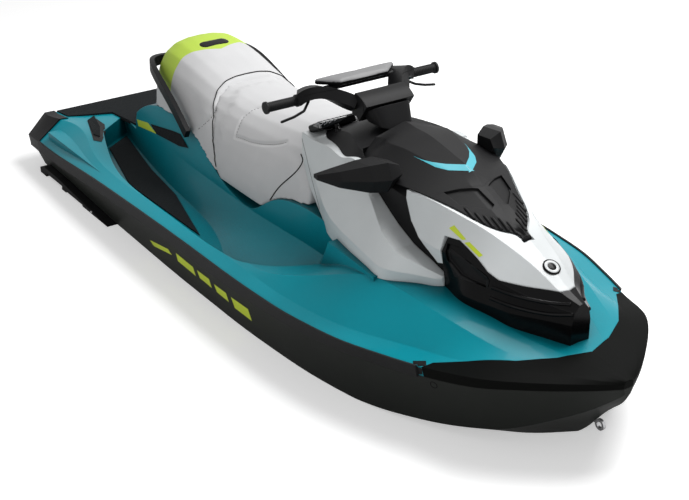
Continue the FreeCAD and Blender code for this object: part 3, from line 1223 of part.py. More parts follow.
def make_gauge():
    """Display in its pod on the console."""
    body = new_body("gauge_form", x="gauge_x", y="-gauge_y", z="gauge_z",
                    turn=Rotation(PORT, -size("gauge_tilt")))
    face = [("-gauge_deep / 2", "-gauge_half"), ("gauge_deep / 2", "-gauge_half"),
            ("gauge_deep / 2", "gauge_half"), ("-gauge_deep / 2", "gauge_half")]
    top = pad(body, outline_on(body, "XY_Plane", face), "2 * gauge_thick", both=True)
    doc.recompute()
    rounded = body.newObject("PartDesign::Fillet", "gauge_rounding")
    rounded.Base = (top, [f"Edge{index + 1}" for index in range(len(top.Shape.Edges))])
    bind(rounded, Radius="gauge_round")
    finished(cut("gauge", body, made_shape("console_body"), made_shape("seat_front"),
                 made_shape("side_panel_right")))


hull = make_hull()
deck = make_deck()
make_bumpers()
make_mats(deck)
make_seats()
room = make_upper_works(deck)
make_bin(room)
make_lid()
make_grab_rail(deck)
make_sponsons()
make_pump_housing()
make_nozzle()
make_bucket()
make_impeller()
make_intake()
make_engine()
make_eyes()
make_steering()
make_gauge()
doc.recompute()

failed = [obj.Label for obj in doc.Objects if {"Invalid", "Error"} & set(obj.State)]
failed += [obj.Label for obj in parts if obj.Shape.isNull() or not obj.Shape.isValid()]
if failed:
    raise RuntimeError("failed sub-parts: " + ", ".join(failed))
os.makedirs("parts", exist_ok=True)
for obj in parts:
    obj.Shape.exportStep(f"parts/{obj.Label}.step")
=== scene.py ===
"""Looks of a sit-down personal watercraft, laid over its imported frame."""
import json
import math

import bmesh
import bpy
from mathutils import Matrix, Vector, geometry, kdtree
from mathutils.bvhtree import BVHTree


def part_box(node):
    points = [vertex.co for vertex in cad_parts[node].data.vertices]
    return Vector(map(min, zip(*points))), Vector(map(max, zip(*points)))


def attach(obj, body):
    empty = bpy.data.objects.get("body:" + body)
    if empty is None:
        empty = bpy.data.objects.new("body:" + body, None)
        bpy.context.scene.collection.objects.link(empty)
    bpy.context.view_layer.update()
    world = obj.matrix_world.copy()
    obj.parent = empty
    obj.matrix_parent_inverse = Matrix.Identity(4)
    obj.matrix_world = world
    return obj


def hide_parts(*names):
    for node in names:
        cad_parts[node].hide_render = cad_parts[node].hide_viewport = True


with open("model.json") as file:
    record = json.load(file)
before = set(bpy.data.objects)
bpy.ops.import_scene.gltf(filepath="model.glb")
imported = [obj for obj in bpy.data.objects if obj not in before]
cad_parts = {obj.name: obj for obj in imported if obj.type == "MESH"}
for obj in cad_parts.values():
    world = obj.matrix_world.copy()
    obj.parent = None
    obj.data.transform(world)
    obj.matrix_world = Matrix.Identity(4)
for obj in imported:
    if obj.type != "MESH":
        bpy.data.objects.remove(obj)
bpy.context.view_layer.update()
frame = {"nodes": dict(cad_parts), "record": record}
NODES = frame["nodes"]
MM = 0.001

# Camera: a long lens above and ahead of the starboard bow, as the craft was photographed.
# Its place, aim and lens follow from the craft's symmetry and its level lines.
SENSOR = 36.0
LENS = 72.15
CAMERA_PLACE = Vector((4.1634, -2.7846, 2.6157))
CAMERA_AIM = Vector((-1.4391, 1.0401, -0.8467))

camera_data = bpy.data.cameras.new("camera")
camera_data.lens = LENS
camera_data.sensor_width = SENSOR
camera = bpy.data.objects.new("camera", camera_data)
camera.location = CAMERA_PLACE
camera_turn = (CAMERA_AIM - CAMERA_PLACE).to_track_quat("-Z", "Y").to_matrix()
camera.rotation_euler = camera_turn.to_euler()
bpy.context.scene.collection.objects.link(camera)
bpy.context.scene.camera = camera
bpy.context.scene.view_settings.view_transform = "Standard"

# Studio: a white sweep whose floor is the calm water's surface, one wide lamp overhead
# and a weaker one by the camera. The sweep shows white, and takes the craft's soft shadow.
FLOOR_HALF, FLOOR_TONE, FLOOR_GLOW = 30.0, 0.93, 0.42
KEY_PLACE, KEY_SIZE, KEY_POWER = (0.5, 1.9, 4.2), 2.6, 225.0
FILL_PLACE, FILL_SIZE, FILL_POWER = (3.5, -6.0, 2.6), 4.0, 75.0
LAMP_AIM = (0, 0, 0.3)
WORLD_LEVEL, SHOWN_LEVEL = 0.30, 1.0


def wire_up(tree, kind, settings=(), **sources):
    """Adds a shader node; a source is a value for a socket or another node's output."""
    made = tree.nodes.new(kind)
    for key, value in dict(settings).items():
        setattr(made, key, value)
    for key, source in sources.items():
        socket = made.inputs[key.replace("_", " ")]
        if isinstance(source, bpy.types.NodeSocket):
            tree.links.new(source, socket)
        else:
            socket.default_value = source
    return made


def maths(tree, kind, *sources):
    """Output of a sum, product or the like of values and outputs."""
    made = tree.nodes.new("ShaderNodeMath")
    made.operation = kind
    for index, source in enumerate(sources):
        if isinstance(source, bpy.types.NodeSocket):
            tree.links.new(source, made.inputs[index])
        else:
            made.inputs[index].default_value = source
    return made.outputs[0]


world = bpy.data.worlds.new("studio")
bpy.context.scene.world = world
world.use_nodes = True
sky = world.node_tree
backdrop = sky.nodes["Background"]
backdrop.inputs["Color"].default_value = (1, 1, 1, 1)
sky_path = sky.nodes.new("ShaderNodeLightPath")
shown = maths(sky, "MAXIMUM", sky_path.outputs["Is Camera Ray"], sky_path.outputs["Is Glossy Ray"])
shown = maths(sky, "MAXIMUM", shown, sky_path.outputs["Is Transmission Ray"])
level = wire_up(sky, "ShaderNodeMix", Factor=shown, A=WORLD_LEVEL, B=SHOWN_LEVEL)
sky.links.new(level.outputs["Result"], backdrop.inputs["Strength"])

floor_mesh = bpy.data.meshes.new("floor")
corners = [(-FLOOR_HALF, -FLOOR_HALF, 0), (FLOOR_HALF, -FLOOR_HALF, 0),
           (FLOOR_HALF, FLOOR_HALF, 0), (-FLOOR_HALF, FLOOR_HALF, 0)]
floor_mesh.from_pydata(corners, [], [(0, 1, 2, 3)])
floor = bpy.data.objects.new("floor", floor_mesh)
bpy.context.scene.collection.objects.link(floor)
floor_paint = bpy.data.materials.new("floor")
floor_paint.use_nodes = True
sweep = floor_paint.node_tree
sweep_shader = sweep.nodes["Principled BSDF"]
sweep_shader.inputs["Base Color"].default_value = (FLOOR_TONE, FLOOR_TONE, FLOOR_TONE, 1)
sweep_shader.inputs["Roughness"].default_value = 1.0
sweep_shader.inputs["Specular IOR Level"].default_value = 0.0
sweep_shader.inputs["Emission Color"].default_value = (1, 1, 1, 1)
sweep_path = sweep.nodes.new("ShaderNodeLightPath")
glow = maths(sweep, "MULTIPLY", sweep_path.outputs["Is Camera Ray"], FLOOR_GLOW)
sweep.links.new(glow, sweep_shader.inputs["Emission Strength"])
floor_mesh.materials.append(floor_paint)


def lamp(name, place, wide, power):
    """Soft square lamp, aimed at the craft."""
    data = bpy.data.lights.new(name, "AREA")
    data.size = wide
    data.energy = power
    made = bpy.data.objects.new(name, data)
    made.location = place
    made.rotation_euler = (Vector(LAMP_AIM) - Vector(place)).to_track_quat("-Z", "Y").to_euler()
    bpy.context.scene.collection.objects.link(made)


lamp("key", KEY_PLACE, KEY_SIZE, KEY_POWER)
lamp("fill", FILL_PLACE, FILL_SIZE, FILL_POWER)

# Hull: a closed moulded shell with black satin gelcoat, and the duller black cover over the
# bow deck. Every moulded part shares the finish: soft edges that rub paler, a faint drift of
# colour and a fine grain.
EDGE_SAMPLES, EDGE_BEGINS, EDGE_FULL = 4, 0.97, 0.80
DRIFT_SCALE, DRIFT_DETAIL, DRIFT_LEAST, DRIFT_MOST = 9.0, 4.0, 0.94, 1.06
GRAIN_DETAIL, GRAIN_ROUGHNESS = 2.0, 0.08
COAT_ROUGHNESS = 0.05


def new_group(name, inputs, outputs):
    """Empty node group with named sockets: (kind, name, value) in, (kind, name) out."""
    group = bpy.data.node_groups.new(name, "ShaderNodeTree")
    for kind, label, value in inputs:
        socket = group.interface.new_socket(label, in_out="INPUT", socket_type=kind)
        socket.default_value = value
    for kind, label in outputs:
        group.interface.new_socket(label, in_out="OUTPUT", socket_type=kind)
    return group, group.nodes.new("NodeGroupInput"), group.nodes.new("NodeGroupOutput")


FLOAT, COLOUR, VECTOR = "NodeSocketFloat", "NodeSocketColor", "NodeSocketVector"
moulded, given, put_out = new_group(
    "moulded surface",
    [(COLOUR, "Colour", (0.1, 0.1, 0.1, 1)), (COLOUR, "Worn", (0.3, 0.3, 0.3, 1)),
     (FLOAT, "Wear", 0.2), (FLOAT, "Edge", 3 * MM), (FLOAT, "Grain Scale", 900.0),
     (FLOAT, "Grain Depth", 0.1 * MM), (FLOAT, "Roughness", 0.4)],
    [(COLOUR, "Colour"), (FLOAT, "Roughness"), (VECTOR, "Normal")])
where = moulded.nodes.new("ShaderNodeTexCoord").outputs["Object"]
edge = wire_up(moulded, "ShaderNodeBevel", {"samples": EDGE_SAMPLES}, Radius=given.outputs["Edge"])
facing = moulded.nodes.new("ShaderNodeNewGeometry")
flat = wire_up(moulded, "ShaderNodeVectorMath", {"operation": "DOT_PRODUCT"})
moulded.links.new(edge.outputs["Normal"], flat.inputs[0])
moulded.links.new(facing.outputs["True Normal"], flat.inputs[1])
drift = wire_up(moulded, "ShaderNodeTexNoise", Vector=where, Scale=DRIFT_SCALE, Detail=DRIFT_DETAIL)
grain = wire_up(moulded, "ShaderNodeTexNoise", Vector=where, Scale=given.outputs["Grain Scale"],
                Detail=GRAIN_DETAIL)
bend = wire_up(moulded, "ShaderNodeMapRange", Value=flat.outputs["Value"], From_Min=EDGE_BEGINS,
               From_Max=EDGE_FULL)
rub = maths(moulded, "MULTIPLY", bend.outputs["Result"], drift.outputs["Fac"])
rubbed = maths(moulded, "MULTIPLY", rub, given.outputs["Wear"])
swing = wire_up(moulded, "ShaderNodeMapRange", Value=drift.outputs["Fac"], To_Min=DRIFT_LEAST,
                To_Max=DRIFT_MOST)
shade = wire_up(moulded, "ShaderNodeHueSaturation", Color=given.outputs["Colour"],
                Value=swing.outputs["Result"])
tint = wire_up(moulded, "ShaderNodeMix", {"data_type": "RGBA"}, Factor=rubbed,
               A=shade.outputs["Color"], B=given.outputs["Worn"])
gloss = maths(moulded, "MULTIPLY_ADD", grain.outputs["Fac"], GRAIN_ROUGHNESS,
              given.outputs["Roughness"])
relief = wire_up(moulded, "ShaderNodeBump", Strength=1.0, Distance=given.outputs["Grain Depth"],
                 Height=grain.outputs["Fac"], Normal=edge.outputs["Normal"])
moulded.links.new(tint.outputs["Result"], put_out.inputs["Colour"])
moulded.links.new(gloss, put_out.inputs["Roughness"])
moulded.links.new(relief.outputs["Normal"], put_out.inputs["Normal"])


def linear(red, green, blue):
    """Shader colour of an eight-bit display colour."""
    shares = [value / 255 for value in (red, green, blue)]
    return tuple(v / 12.92 if v <= 0.04045 else ((v + 0.055) / 1.055) ** 2.4
                 for v in shares) + (1,)


def moulded_finish(name, colour, worn, wear=0.0, edge_mm=1, grain_scale=500, grain_mm=0.0,
                   rough=0.4, coat=0.0, sheen=0.5, metal=0.0):
    """Material of a moulded piece, from eight-bit display colours.

    Wear is how much of the worn colour edges take, and sheen is how strongly the bare
    surface mirrors.
    """
    material = bpy.data.materials.new(name)
    material.use_nodes = True
    tree = material.node_tree
    shader = tree.nodes["Principled BSDF"]
    skin = tree.nodes.new("ShaderNodeGroup")
    skin.node_tree = moulded
    skin.name = "skin"
    values = {"Colour": linear(*colour), "Worn": linear(*worn), "Wear": wear, "Edge": edge_mm * MM,
              "Grain Scale": grain_scale, "Grain Depth": grain_mm * MM, "Roughness": rough}
    for key, value in values.items():
        skin.inputs[key].default_value = value
    tree.links.new(skin.outputs["Colour"], shader.inputs["Base Color"])
    tree.links.new(skin.outputs["Roughness"], shader.inputs["Roughness"])
    tree.links.new(skin.outputs["Normal"], shader.inputs["Normal"])
    shader.inputs["Metallic"].default_value = metal
    shader.inputs["Coat Weight"].default_value = coat
    shader.inputs["Coat Roughness"].default_value = COAT_ROUGHNESS
    shader.inputs["Specular IOR Level"].default_value = sheen
    return material


def dress(material, *names):
    """Gives solids of the frame a material."""
    for name in names:
        mesh = NODES[name].data
        mesh.materials.clear()
        mesh.materials.append(material)


hull_paint = moulded_finish("hull gelcoat", (33, 35, 33), (66, 66, 64), wear=0.2, edge_mm=4,
                            grain_scale=700, grain_mm=0.05, rough=0.35, sheen=0.10)
dress(hull_paint, "hull")
cover_paint = moulded_finish("bow cover", (9, 10, 9), (36, 36, 35), wear=0.1, edge_mm=4,
                             grain_scale=700, grain_mm=0.05, rough=0.5, sheen=0.03)
dress(cover_paint, "bow_cover")

# Lime dashes along the hull's side: five plain slanted bars of cut vinyl film, laid on the
# gelcoat. A mark's outline is given in pixels of the photograph, and the rays through them
# find its place on the piece.
PICTURE_WIDE, PICTURE_HIGH = 689, 500
DASHES = (((150, 240), (154, 246), (172, 255), (168, 249)),
          ((176, 253), (178, 261), (196, 276), (193, 267)),
          ((197, 270), (200, 278), (212, 288), (209, 279)),
          ((214, 284), (217, 292), (229, 302), (226, 293)),
          ((231, 297), (235, 308), (252, 321), (248, 309)))
FILM_THICK = 0.5 * MM
FILM_PITCH, FINE_PITCH = 2.0, 1.0
FACES_INSIDE, JOINED_WITHIN = 1, 0.01
TREES = {}


def ray_to(pixel):
    """Direction from the camera through a pixel of the photograph."""
    focal = LENS / SENSOR * PICTURE_WIDE
    side = (pixel[0] - PICTURE_WIDE / 2) / focal
    rise = (PICTURE_HIGH / 2 - pixel[1]) / focal
    return (camera_turn @ Vector((side, rise, -1))).normalized()


def tree_in(mesh):
    """Search tree over a mesh."""
    return BVHTree.FromPolygons([vertex.co.copy() for vertex in mesh.vertices],
                                [tuple(face.vertices) for face in mesh.polygons])


def tree_of(name):
    """Search tree over a solid of the frame, made once."""
    if name not in TREES:
        TREES[name] = tree_in(NODES[name].data)
    return TREES[name]


def place_piece(name, mesh, material, body, smooth=True):
    """Puts a mesh in the scene as a piece that rides on a body."""
    for face in mesh.polygons:
        face.use_smooth = smooth
    made = bpy.data.objects.new(name, mesh)
    bpy.context.scene.collection.objects.link(made)
    if material is not None:
        mesh.materials.append(material)
    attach(made, body)
    return made


def other_side(piece, name, body):
    """Copy of a piece, with its material, on the other side of the centreline."""
    mesh = piece.data.copy()
    form = bmesh.new()
    form.from_mesh(mesh)
    for vertex in form.verts:
        vertex.co.y = -vertex.co.y
    bmesh.ops.reverse_faces(form, faces=form.faces)
    form.to_mesh(mesh)
    form.free()
    return place_piece(name, mesh, None, body)


def patch(name, host, outline, thick, pitch=FILM_PITCH):
    """Mesh of a thin patch laid on a solid, its outline given in pixels."""
    ring = []
    for start, end in zip(outline, outline[1:] + outline[:1]):
        steps = max(1, int(math.dist(start, end) / pitch))
        for step in range(steps):
            ring.append(Vector(start).lerp(Vector(end), step / steps))
    low = Vector((min(p.x for p in ring), min(p.y for p in ring)))
    high = Vector((max(p.x for p in ring), max(p.y for p in ring)))
    inner = []
    for row in range(int((high.y - low.y) / pitch)):
        for column in range(int((high.x - low.x) / pitch)):
            inner.append(low + Vector((column + 0.5, row + 0.5)) * pitch)
    count = len(ring)
    edges = [(i, (i + 1) % count) for i in range(count)]
    flat_points, _, faces, _, _, _ = geometry.delaunay_2d_cdt(ring + inner, edges, [], FACES_INSIDE,
                                                              JOINED_WITHIN)
    places = []
    for point in flat_points:
        place, normal, _, _ = tree_of(host).ray_cast(CAMERA_PLACE, ray_to(point))
        places.append(None if place is None else place + normal * thick)
    faces = [face for face in faces if all(places[i] is not None for i in face)]
    mesh = bpy.data.meshes.new(name)
    mesh.from_pydata([place or Vector() for place in places], [], faces)
    form = bmesh.new()
    form.from_mesh(mesh)
    loose = [vertex for vertex in form.verts if not vertex.link_faces]
    bmesh.ops.delete(form, geom=loose, context="VERTS")
    if sum((CAMERA_PLACE - f.calc_center_median()).dot(f.normal) for f in form.faces) < 0:
        bmesh.ops.reverse_faces(form, faces=form.faces)
    form.to_mesh(mesh)
    form.free()
    return mesh


def film(name, host, outline, material, body="root", thick=FILM_THICK,
         pitch=FILM_PITCH):
    """Patch on the starboard side and its twin to port."""
    mesh = patch(name, host, outline, thick, pitch)
    piece = place_piece(f"{name}_right", mesh, material, body)
    other_side(piece, f"{name}_left", body)


lime_film = moulded_finish("lime film", (196, 214, 40), (210, 220, 90), grain_scale=400,
                           grain_mm=0.02, rough=0.35)
for index, outline in enumerate(DASHES):
    film(f"hull_dash_{index}", "hull", outline, lime_film)

# Scupper in the hull's side: a short moulded sleeve with a rounded lip and a dark bore,
# bonded flush with the gelcoat. The sleeve is a black fitting. The bore is closed a little way
# in, and its near-black floor is painted shade for the depth of the hole.
SCUPPER_PIXEL = (433.7, 385)
SCUPPER_RADIUS, SCUPPER_LIP, SCUPPER_THROAT = 11 * MM, 3 * MM, 9.9 * MM
TURNED_SIDES = 32


def seen_on(tree, pixels):
    """Places where the rays through pixels meet a surface, each with its normal."""
    hits = [tree.ray_cast(CAMERA_PLACE, ray_to(pixel))[:2] for pixel in pixels]
    return [(place, normal) for place, normal in hits if place is not None]


def bridge(form, rows):
    """Faces between rings of vertices, from each ring to the next."""
    for low, high in zip(rows, rows[1:]):
        for i in range(len(low)):
            j = (i + 1) % len(low)
            form.faces.new((low[i], low[j], high[j], high[i]))


def from_form(name, form):
    """Mesh from a bmesh, which is freed."""
    mesh = bpy.data.meshes.new(name)
    form.to_mesh(mesh)
    form.free()
    return mesh


def from_rings(name, form, rows, closed=True):
    """Mesh of a form whose rings of vertices are joined, with its ends closed or open."""
    bridge(form, rows)
    if closed:
        form.faces.new(list(reversed(rows[0])))
        form.faces.new(rows[-1])
    bmesh.ops.recalc_face_normals(form, faces=form.faces)
    return from_form(name, form)


def turned_mesh(name, rings, sides=TURNED_SIDES, closed=True):
    """Mesh turned about Z through (radius, height) pairs, from the bottom up."""
    form = bmesh.new()
    rows = []
    for radius, height in rings:
        rows.append([form.verts.new((radius * math.cos(math.tau * i / sides),
                                     radius * math.sin(math.tau * i / sides), height))
                     for i in range(sides)])
    return from_rings(name, form, rows, closed)


def stand_on(mesh, place, normal):
    """Stands a mesh made about Z on a place, along its normal."""
    mesh.transform(Matrix.Translation(place) @ normal.to_track_quat("Z", "Y").to_matrix().to_4x4())
    return mesh


dark = moulded_finish("dark bore", (12, 12, 12), (14, 14, 14), grain_mm=0.01, rough=0.7, sheen=0.1)
# Painted shade: the bore's floor sits just below the lip, and its near-black colour stands for the
# dark inside of a through hole.
scupper_rings = [(SCUPPER_RADIUS + SCUPPER_LIP, -SCUPPER_LIP), (SCUPPER_RADIUS + SCUPPER_LIP, 0),
                 (SCUPPER_RADIUS + SCUPPER_LIP / 2, SCUPPER_LIP / 2), (SCUPPER_RADIUS, 0),
                 (SCUPPER_THROAT, -SCUPPER_LIP / 2)]
sleeve = stand_on(turned_mesh("scupper", scupper_rings),
                  *seen_on(tree_of("hull"), [SCUPPER_PIXEL])[0])
scupper = place_piece("scupper_right", sleeve, dark, "root")
other_side(scupper, "scupper_left", "root")

# Deck: one moulding with the footwells and the pedestal under the seat, in teal metallic
# gelcoat. Its base colour carries painted shade: ambient occlusion darkens it where the deck is
# enclosed, as in the wells by the seat.
FLAKE_SCALE = 2600.0
PAINTED_SHADE_REACH, PAINTED_SHADE_DARKEST = 0.90, 0.20
PAINTED_SHADE_CLOSED, PAINTED_SHADE_OPEN, PAINTED_SHADE_SAMPLES = 0.40, 0.88, 6
deck_paint = moulded_finish("teal gelcoat", (0, 146, 162), (50, 180, 194), wear=0.12, edge_mm=6,
                            grain_scale=FLAKE_SCALE, grain_mm=0.01, rough=0.28, coat=0.06,
                            sheen=0.12)
deck_tree = deck_paint.node_tree
# Painted shade: an ambient occlusion factor scales the teal base colour down in the footwells and
# other enclosed places.
painted_shade_ao = wire_up(deck_tree, "ShaderNodeAmbientOcclusion", {"samples": PAINTED_SHADE_SAMPLES},
                  Distance=PAINTED_SHADE_REACH)
painted_shade_factor = wire_up(deck_tree, "ShaderNodeMapRange", Value=painted_shade_ao.outputs["AO"],
                    From_Min=PAINTED_SHADE_CLOSED, From_Max=PAINTED_SHADE_OPEN, To_Min=PAINTED_SHADE_DARKEST)
shaded_base_colour = wire_up(deck_tree, "ShaderNodeVectorMath", {"operation": "SCALE"},
               Vector=deck_tree.nodes["skin"].outputs["Colour"], Scale=painted_shade_factor.outputs["Result"])
deck_tree.links.new(shaded_base_colour.outputs["Vector"], deck_tree.nodes["Principled BSDF"].inputs["Base Color"])
dress(deck_paint, "deck")

# Black mouldings: stern corners, console, bin, lid, mirrors, rail, sponsons and steering.
# Fine-grained polypropylene, a little paler where edges rub; the grille and the gauge are
# smooth and glossy.
trim = moulded_finish("black trim", (17, 17, 18), (64, 64, 64), wear=0.3, edge_mm=2.5,
                      grain_scale=1400, grain_mm=0.12, rough=0.42, sheen=0.11)
dress(trim, "stern_corners", "console_body", "storage_bin", "lid_panel", "lid_insert",
      "mirror_right", "mirror_left", "grab_rail", "sponson_right", "sponson_left",
      "steering_column", "handlebar", "handlebar_cover", "levers")
gloss_black = moulded_finish("gloss black", (7, 7, 8), (46, 46, 46), wear=0.1, edge_mm=2.5,
                             grain_scale=900, grain_mm=0.02, rough=0.14, sheen=0.10)
dress(gloss_black, "nose_grille", "gauge")

# White mouldings: the nose hood and both side panels, shells with pale grey gelcoat of a
# soft gloss, screwed down from inside.
white_paint = moulded_finish("white gelcoat", (205, 209, 210), (228, 228, 228), wear=0.1, edge_mm=5,
                             grain_scale=900, grain_mm=0.02, rough=0.32, coat=0.15, sheen=0.4)
dress(white_paint, "nose_hood", "side_panel_right", "side_panel_left")

# Mats: closed-cell foam with a pressed diamond pattern, glued in the footwells, on the rear
# platform and beside the seat, where a lime sticker runs on from the mat.
DIAMOND_SCALE, DIAMOND_DEPTH, DIAMOND_CRISP = 70.0, 1.2 * MM, 4.0
MAT_THICK = 3 * MM
KNEE_MAT = ((151, 124), (173.5, 131), (180.6, 134), (188.8, 148), (179.6, 146), (157, 134))
STICKER = ((137, 119.3), (148, 122.7), (156.6, 133.9), (138.5, 126))


def press_pattern(material, scale, depth):
    """Adds a pressed diamond pattern over a material's grain."""
    tree = material.node_tree
    place = tree.nodes.new("ShaderNodeTexCoord").outputs["Object"]
    split = wire_up(tree, "ShaderNodeSeparateXYZ", Vector=place)
    waves = []
    for kind in ("ADD", "SUBTRACT"):
        slant = maths(tree, kind, split.outputs["X"], split.outputs["Y"])
        turned = maths(tree, "MULTIPLY", slant, scale * math.pi / 2)
        waves.append(maths(tree, "ABSOLUTE", maths(tree, "SINE", turned)))
    height = maths(tree, "MULTIPLY", maths(tree, "MINIMUM", *waves), DIAMOND_CRISP)
    bump = wire_up(tree, "ShaderNodeBump", Strength=1.0, Distance=depth,
                   Height=maths(tree, "MINIMUM", height, 1.0),
                   Normal=tree.nodes["skin"].outputs["Normal"])
    tree.links.new(bump.outputs["Normal"], tree.nodes["Principled BSDF"].inputs["Normal"])


mat = moulded_finish("foam mat", (21, 24, 26), (44, 46, 48), wear=0.2, edge_mm=2, grain_mm=0.5,
                     rough=0.85, sheen=0.15)
press_pattern(mat, DIAMOND_SCALE, DIAMOND_DEPTH)
dress(mat, "traction_mats", "rear_platform")
film("knee_mat", "deck", KNEE_MAT, mat, thick=MAT_THICK)
film("lime_sticker", "deck", STICKER, lime_film)

# Bumper strips and grips: black rubber, the strips pressed on round the bond of hull and
# deck, the grips slid on the bar.
rubber = moulded_finish("bumper rubber", (20, 20, 21), (52, 52, 52), wear=0.3, edge_mm=3,
                        grain_scale=900, grain_mm=0.1, rough=0.55, sheen=0.2)
dress(rubber, "side_bumpers", "grips")

# Cleat pockets and bond ends: thin black mouldings let into the gunwale, one near the stern
# for a mooring line and one where the bow cover's edge ends.
CLEAT_THICK, BOND_THICK = 1.5 * MM, 1 * MM
CLEAT_POCKET = ((88, 122.5), (96.5, 119), (104.5, 124.5), (105.5, 133), (101.5, 142), (93.5, 140.5))
BOND_END = ((413, 361), (426, 361), (427, 381), (413, 378))
film("cleat_pocket", "deck", CLEAT_POCKET, trim, thick=CLEAT_THICK)
film("bond_end", "deck", BOND_END, trim, thick=BOND_THICK)

# Seats: two foam cushions under stretched vinyl, pale grey with a lime rear top.
# Each is swelled a little as stretched foam is, then its sewn channels are drawn in.
# The rear one's boundary between lime and grey runs round the top and down the sides.
CUSHION_CELL, CUSHION_CAP, CUSHION_PRESSURE = 9 * MM, 7 * MM, 4.0
CLOTH_STEPS = 20
SOFTEN_SHARE, SOFTEN_TIMES = 0.5, 3
HELD_CAPS, HELD_TILT = 8, 0.6
CHANNEL_HALF, CHANNEL_DEPTH = 13 * MM, 6 * MM
STITCH_LENGTH, STITCH_GAP, THREAD_RADIUS = 7 * MM, 4 * MM, 1.5 * MM
LIME_START, LIME_SLOPE, LIME_SIDE, LIME_LOW = -0.862, 0.38, -0.918, 0.50
LIME_VINYL, LIME_BLUR = (180, 207, 78), 0.5 * MM
SEAMS = {
    "seat_rear": {
        "low_seam": ((196.3, 129), (206.5, 120.8), (216.7, 109.3), (221.8, 100.4), (232, 92),
                     (243.5, 88.2)),
    },
    "seat_front": {
        "panel_rear_seam": ((235.9, 136.7), (237.8, 131), (241, 122), (247.3, 114.4),
                            (255, 110), (261.4, 108.6)),
        "panel_side_seam": ((235.9, 136.7), (242.2, 138.6), (252.4, 142.4), (263.9, 144.4),
                            (276.7, 144.4), (286.9, 142.4)),
    },
}
vinyl = moulded_finish("seat vinyl", (202, 202, 203), (225, 225, 225), wear=0.05, edge_mm=8,
                       grain_scale=420, grain_mm=0.25, rough=0.55, sheen=0.3)
vinyl_tree = vinyl.node_tree
seat_place = wire_up(vinyl_tree, "ShaderNodeSeparateXYZ",
                     Vector=vinyl_tree.nodes.new("ShaderNodeTexCoord").outputs["Object"])
off_centre = maths(vinyl_tree, "ABSOLUTE", seat_place.outputs["Y"])
slanted = maths(vinyl_tree, "MULTIPLY", off_centre, LIME_SLOPE)
bound_x = maths(vinyl_tree, "MAXIMUM", maths(vinyl_tree, "SUBTRACT", LIME_START, slanted), LIME_SIDE)
lime_mask = wire_up(vinyl_tree, "ShaderNodeMapRange",
                    Value=maths(vinyl_tree, "SUBTRACT", bound_x, seat_place.outputs["X"]),
                    From_Min=-LIME_BLUR, From_Max=LIME_BLUR)
high_enough = maths(vinyl_tree, "GREATER_THAN", seat_place.outputs["Z"], LIME_LOW)
two_tone = wire_up(vinyl_tree, "ShaderNodeMix", {"data_type": "RGBA"},
                   Factor=maths(vinyl_tree, "MULTIPLY", lime_mask.outputs["Result"], high_enough),
                   A=vinyl_tree.nodes["skin"].outputs["Colour"], B=linear(*LIME_VINYL))
vinyl_tree.links.new(two_tone.outputs["Result"],
                     vinyl_tree.nodes["Principled BSDF"].inputs["Base Color"])
thread = moulded_finish("seat thread", (58, 58, 60), (70, 70, 70), grain_scale=900, grain_mm=0.02,
                        rough=0.7)


def applied(made):
    """Mesh of an object with its modifiers applied; the modifiers are then taken off."""
    graph = bpy.context.evaluated_depsgraph_get()
    mesh = bpy.data.meshes.new_from_object(made.evaluated_get(graph))
    made.modifiers.clear()
    old = made.data
    made.data = mesh
    bpy.data.meshes.remove(old)
    return mesh


def blown_up(made, mesh, cap):
    """Moves a mesh to its shape as cloth under pressure, by no more than a cap.

    It is held at the foot, underneath and on the faces that look fore and aft.
    """
    before = [vertex.co.copy() for vertex in mesh.vertices]
    normals = [vertex.normal.copy() for vertex in mesh.vertices]
    bottom = min(place.z for place in before)
    cloth = made.modifiers.new("cloth", "CLOTH")
    cloth.settings.use_pressure = True
    cloth.settings.uniform_pressure_force = CUSHION_PRESSURE
    cloth.settings.effector_weights.gravity = 0
    for step in range(1, CLOTH_STEPS + 1):
        bpy.context.scene.frame_set(step)
    graph = bpy.context.evaluated_depsgraph_get()
    swollen = [vertex.co.copy() for vertex in made.evaluated_get(graph).data.vertices]
    made.modifiers.clear()
    bpy.context.scene.frame_set(1)
    for vertex, start, end, normal in zip(mesh.vertices, before, swollen, normals):
        free = min(1.0, max(0.0, (start.z - bottom) / (HELD_CAPS * cap)))
        free *= min(1.0, max(0.0, normal.z + HELD_TILT)) * (1 - abs(normal.x)) ** 0.5
        move = (end - start) * free
        if move.length > cap:
            move = move * (cap / move.length)
        vertex.co = start + move


def swelled(name, node, cell, cap):
    """Cushion from a plain solid: remeshed, swelled as cloth over foam, and subdivided."""
    made = bpy.data.objects.new(name, NODES[node].data.copy())
    bpy.context.scene.collection.objects.link(made)
    remesh = made.modifiers.new("cells", "REMESH")
    remesh.mode = "VOXEL"
    remesh.voxel_size = cell
    soften = made.modifiers.new("soften", "SMOOTH")
    soften.factor = SOFTEN_SHARE
    soften.iterations = SOFTEN_TIMES
    mesh = applied(made)
    blown_up(made, mesh, cap)
    finer = made.modifiers.new("finer", "SUBSURF")
    finer.levels = 1
    finer.render_levels = 1
    applied(made).materials.clear()
    return made


def draw_in(mesh, lines, half, depth):
    """Presses a rounded channel into a mesh along lines of places."""
    places = [place for line in lines for place in line]
    near = kdtree.KDTree(len(places))
    for index, place in enumerate(places):
        near.insert(place, index)
    near.balance()
    normals = [vertex.normal.copy() for vertex in mesh.vertices]
    for vertex, normal in zip(mesh.vertices, normals):
        _, _, distance = near.find(vertex.co)
        if distance < half:
            vertex.co -= normal * depth * (1 - (distance / half) ** 2) ** 2


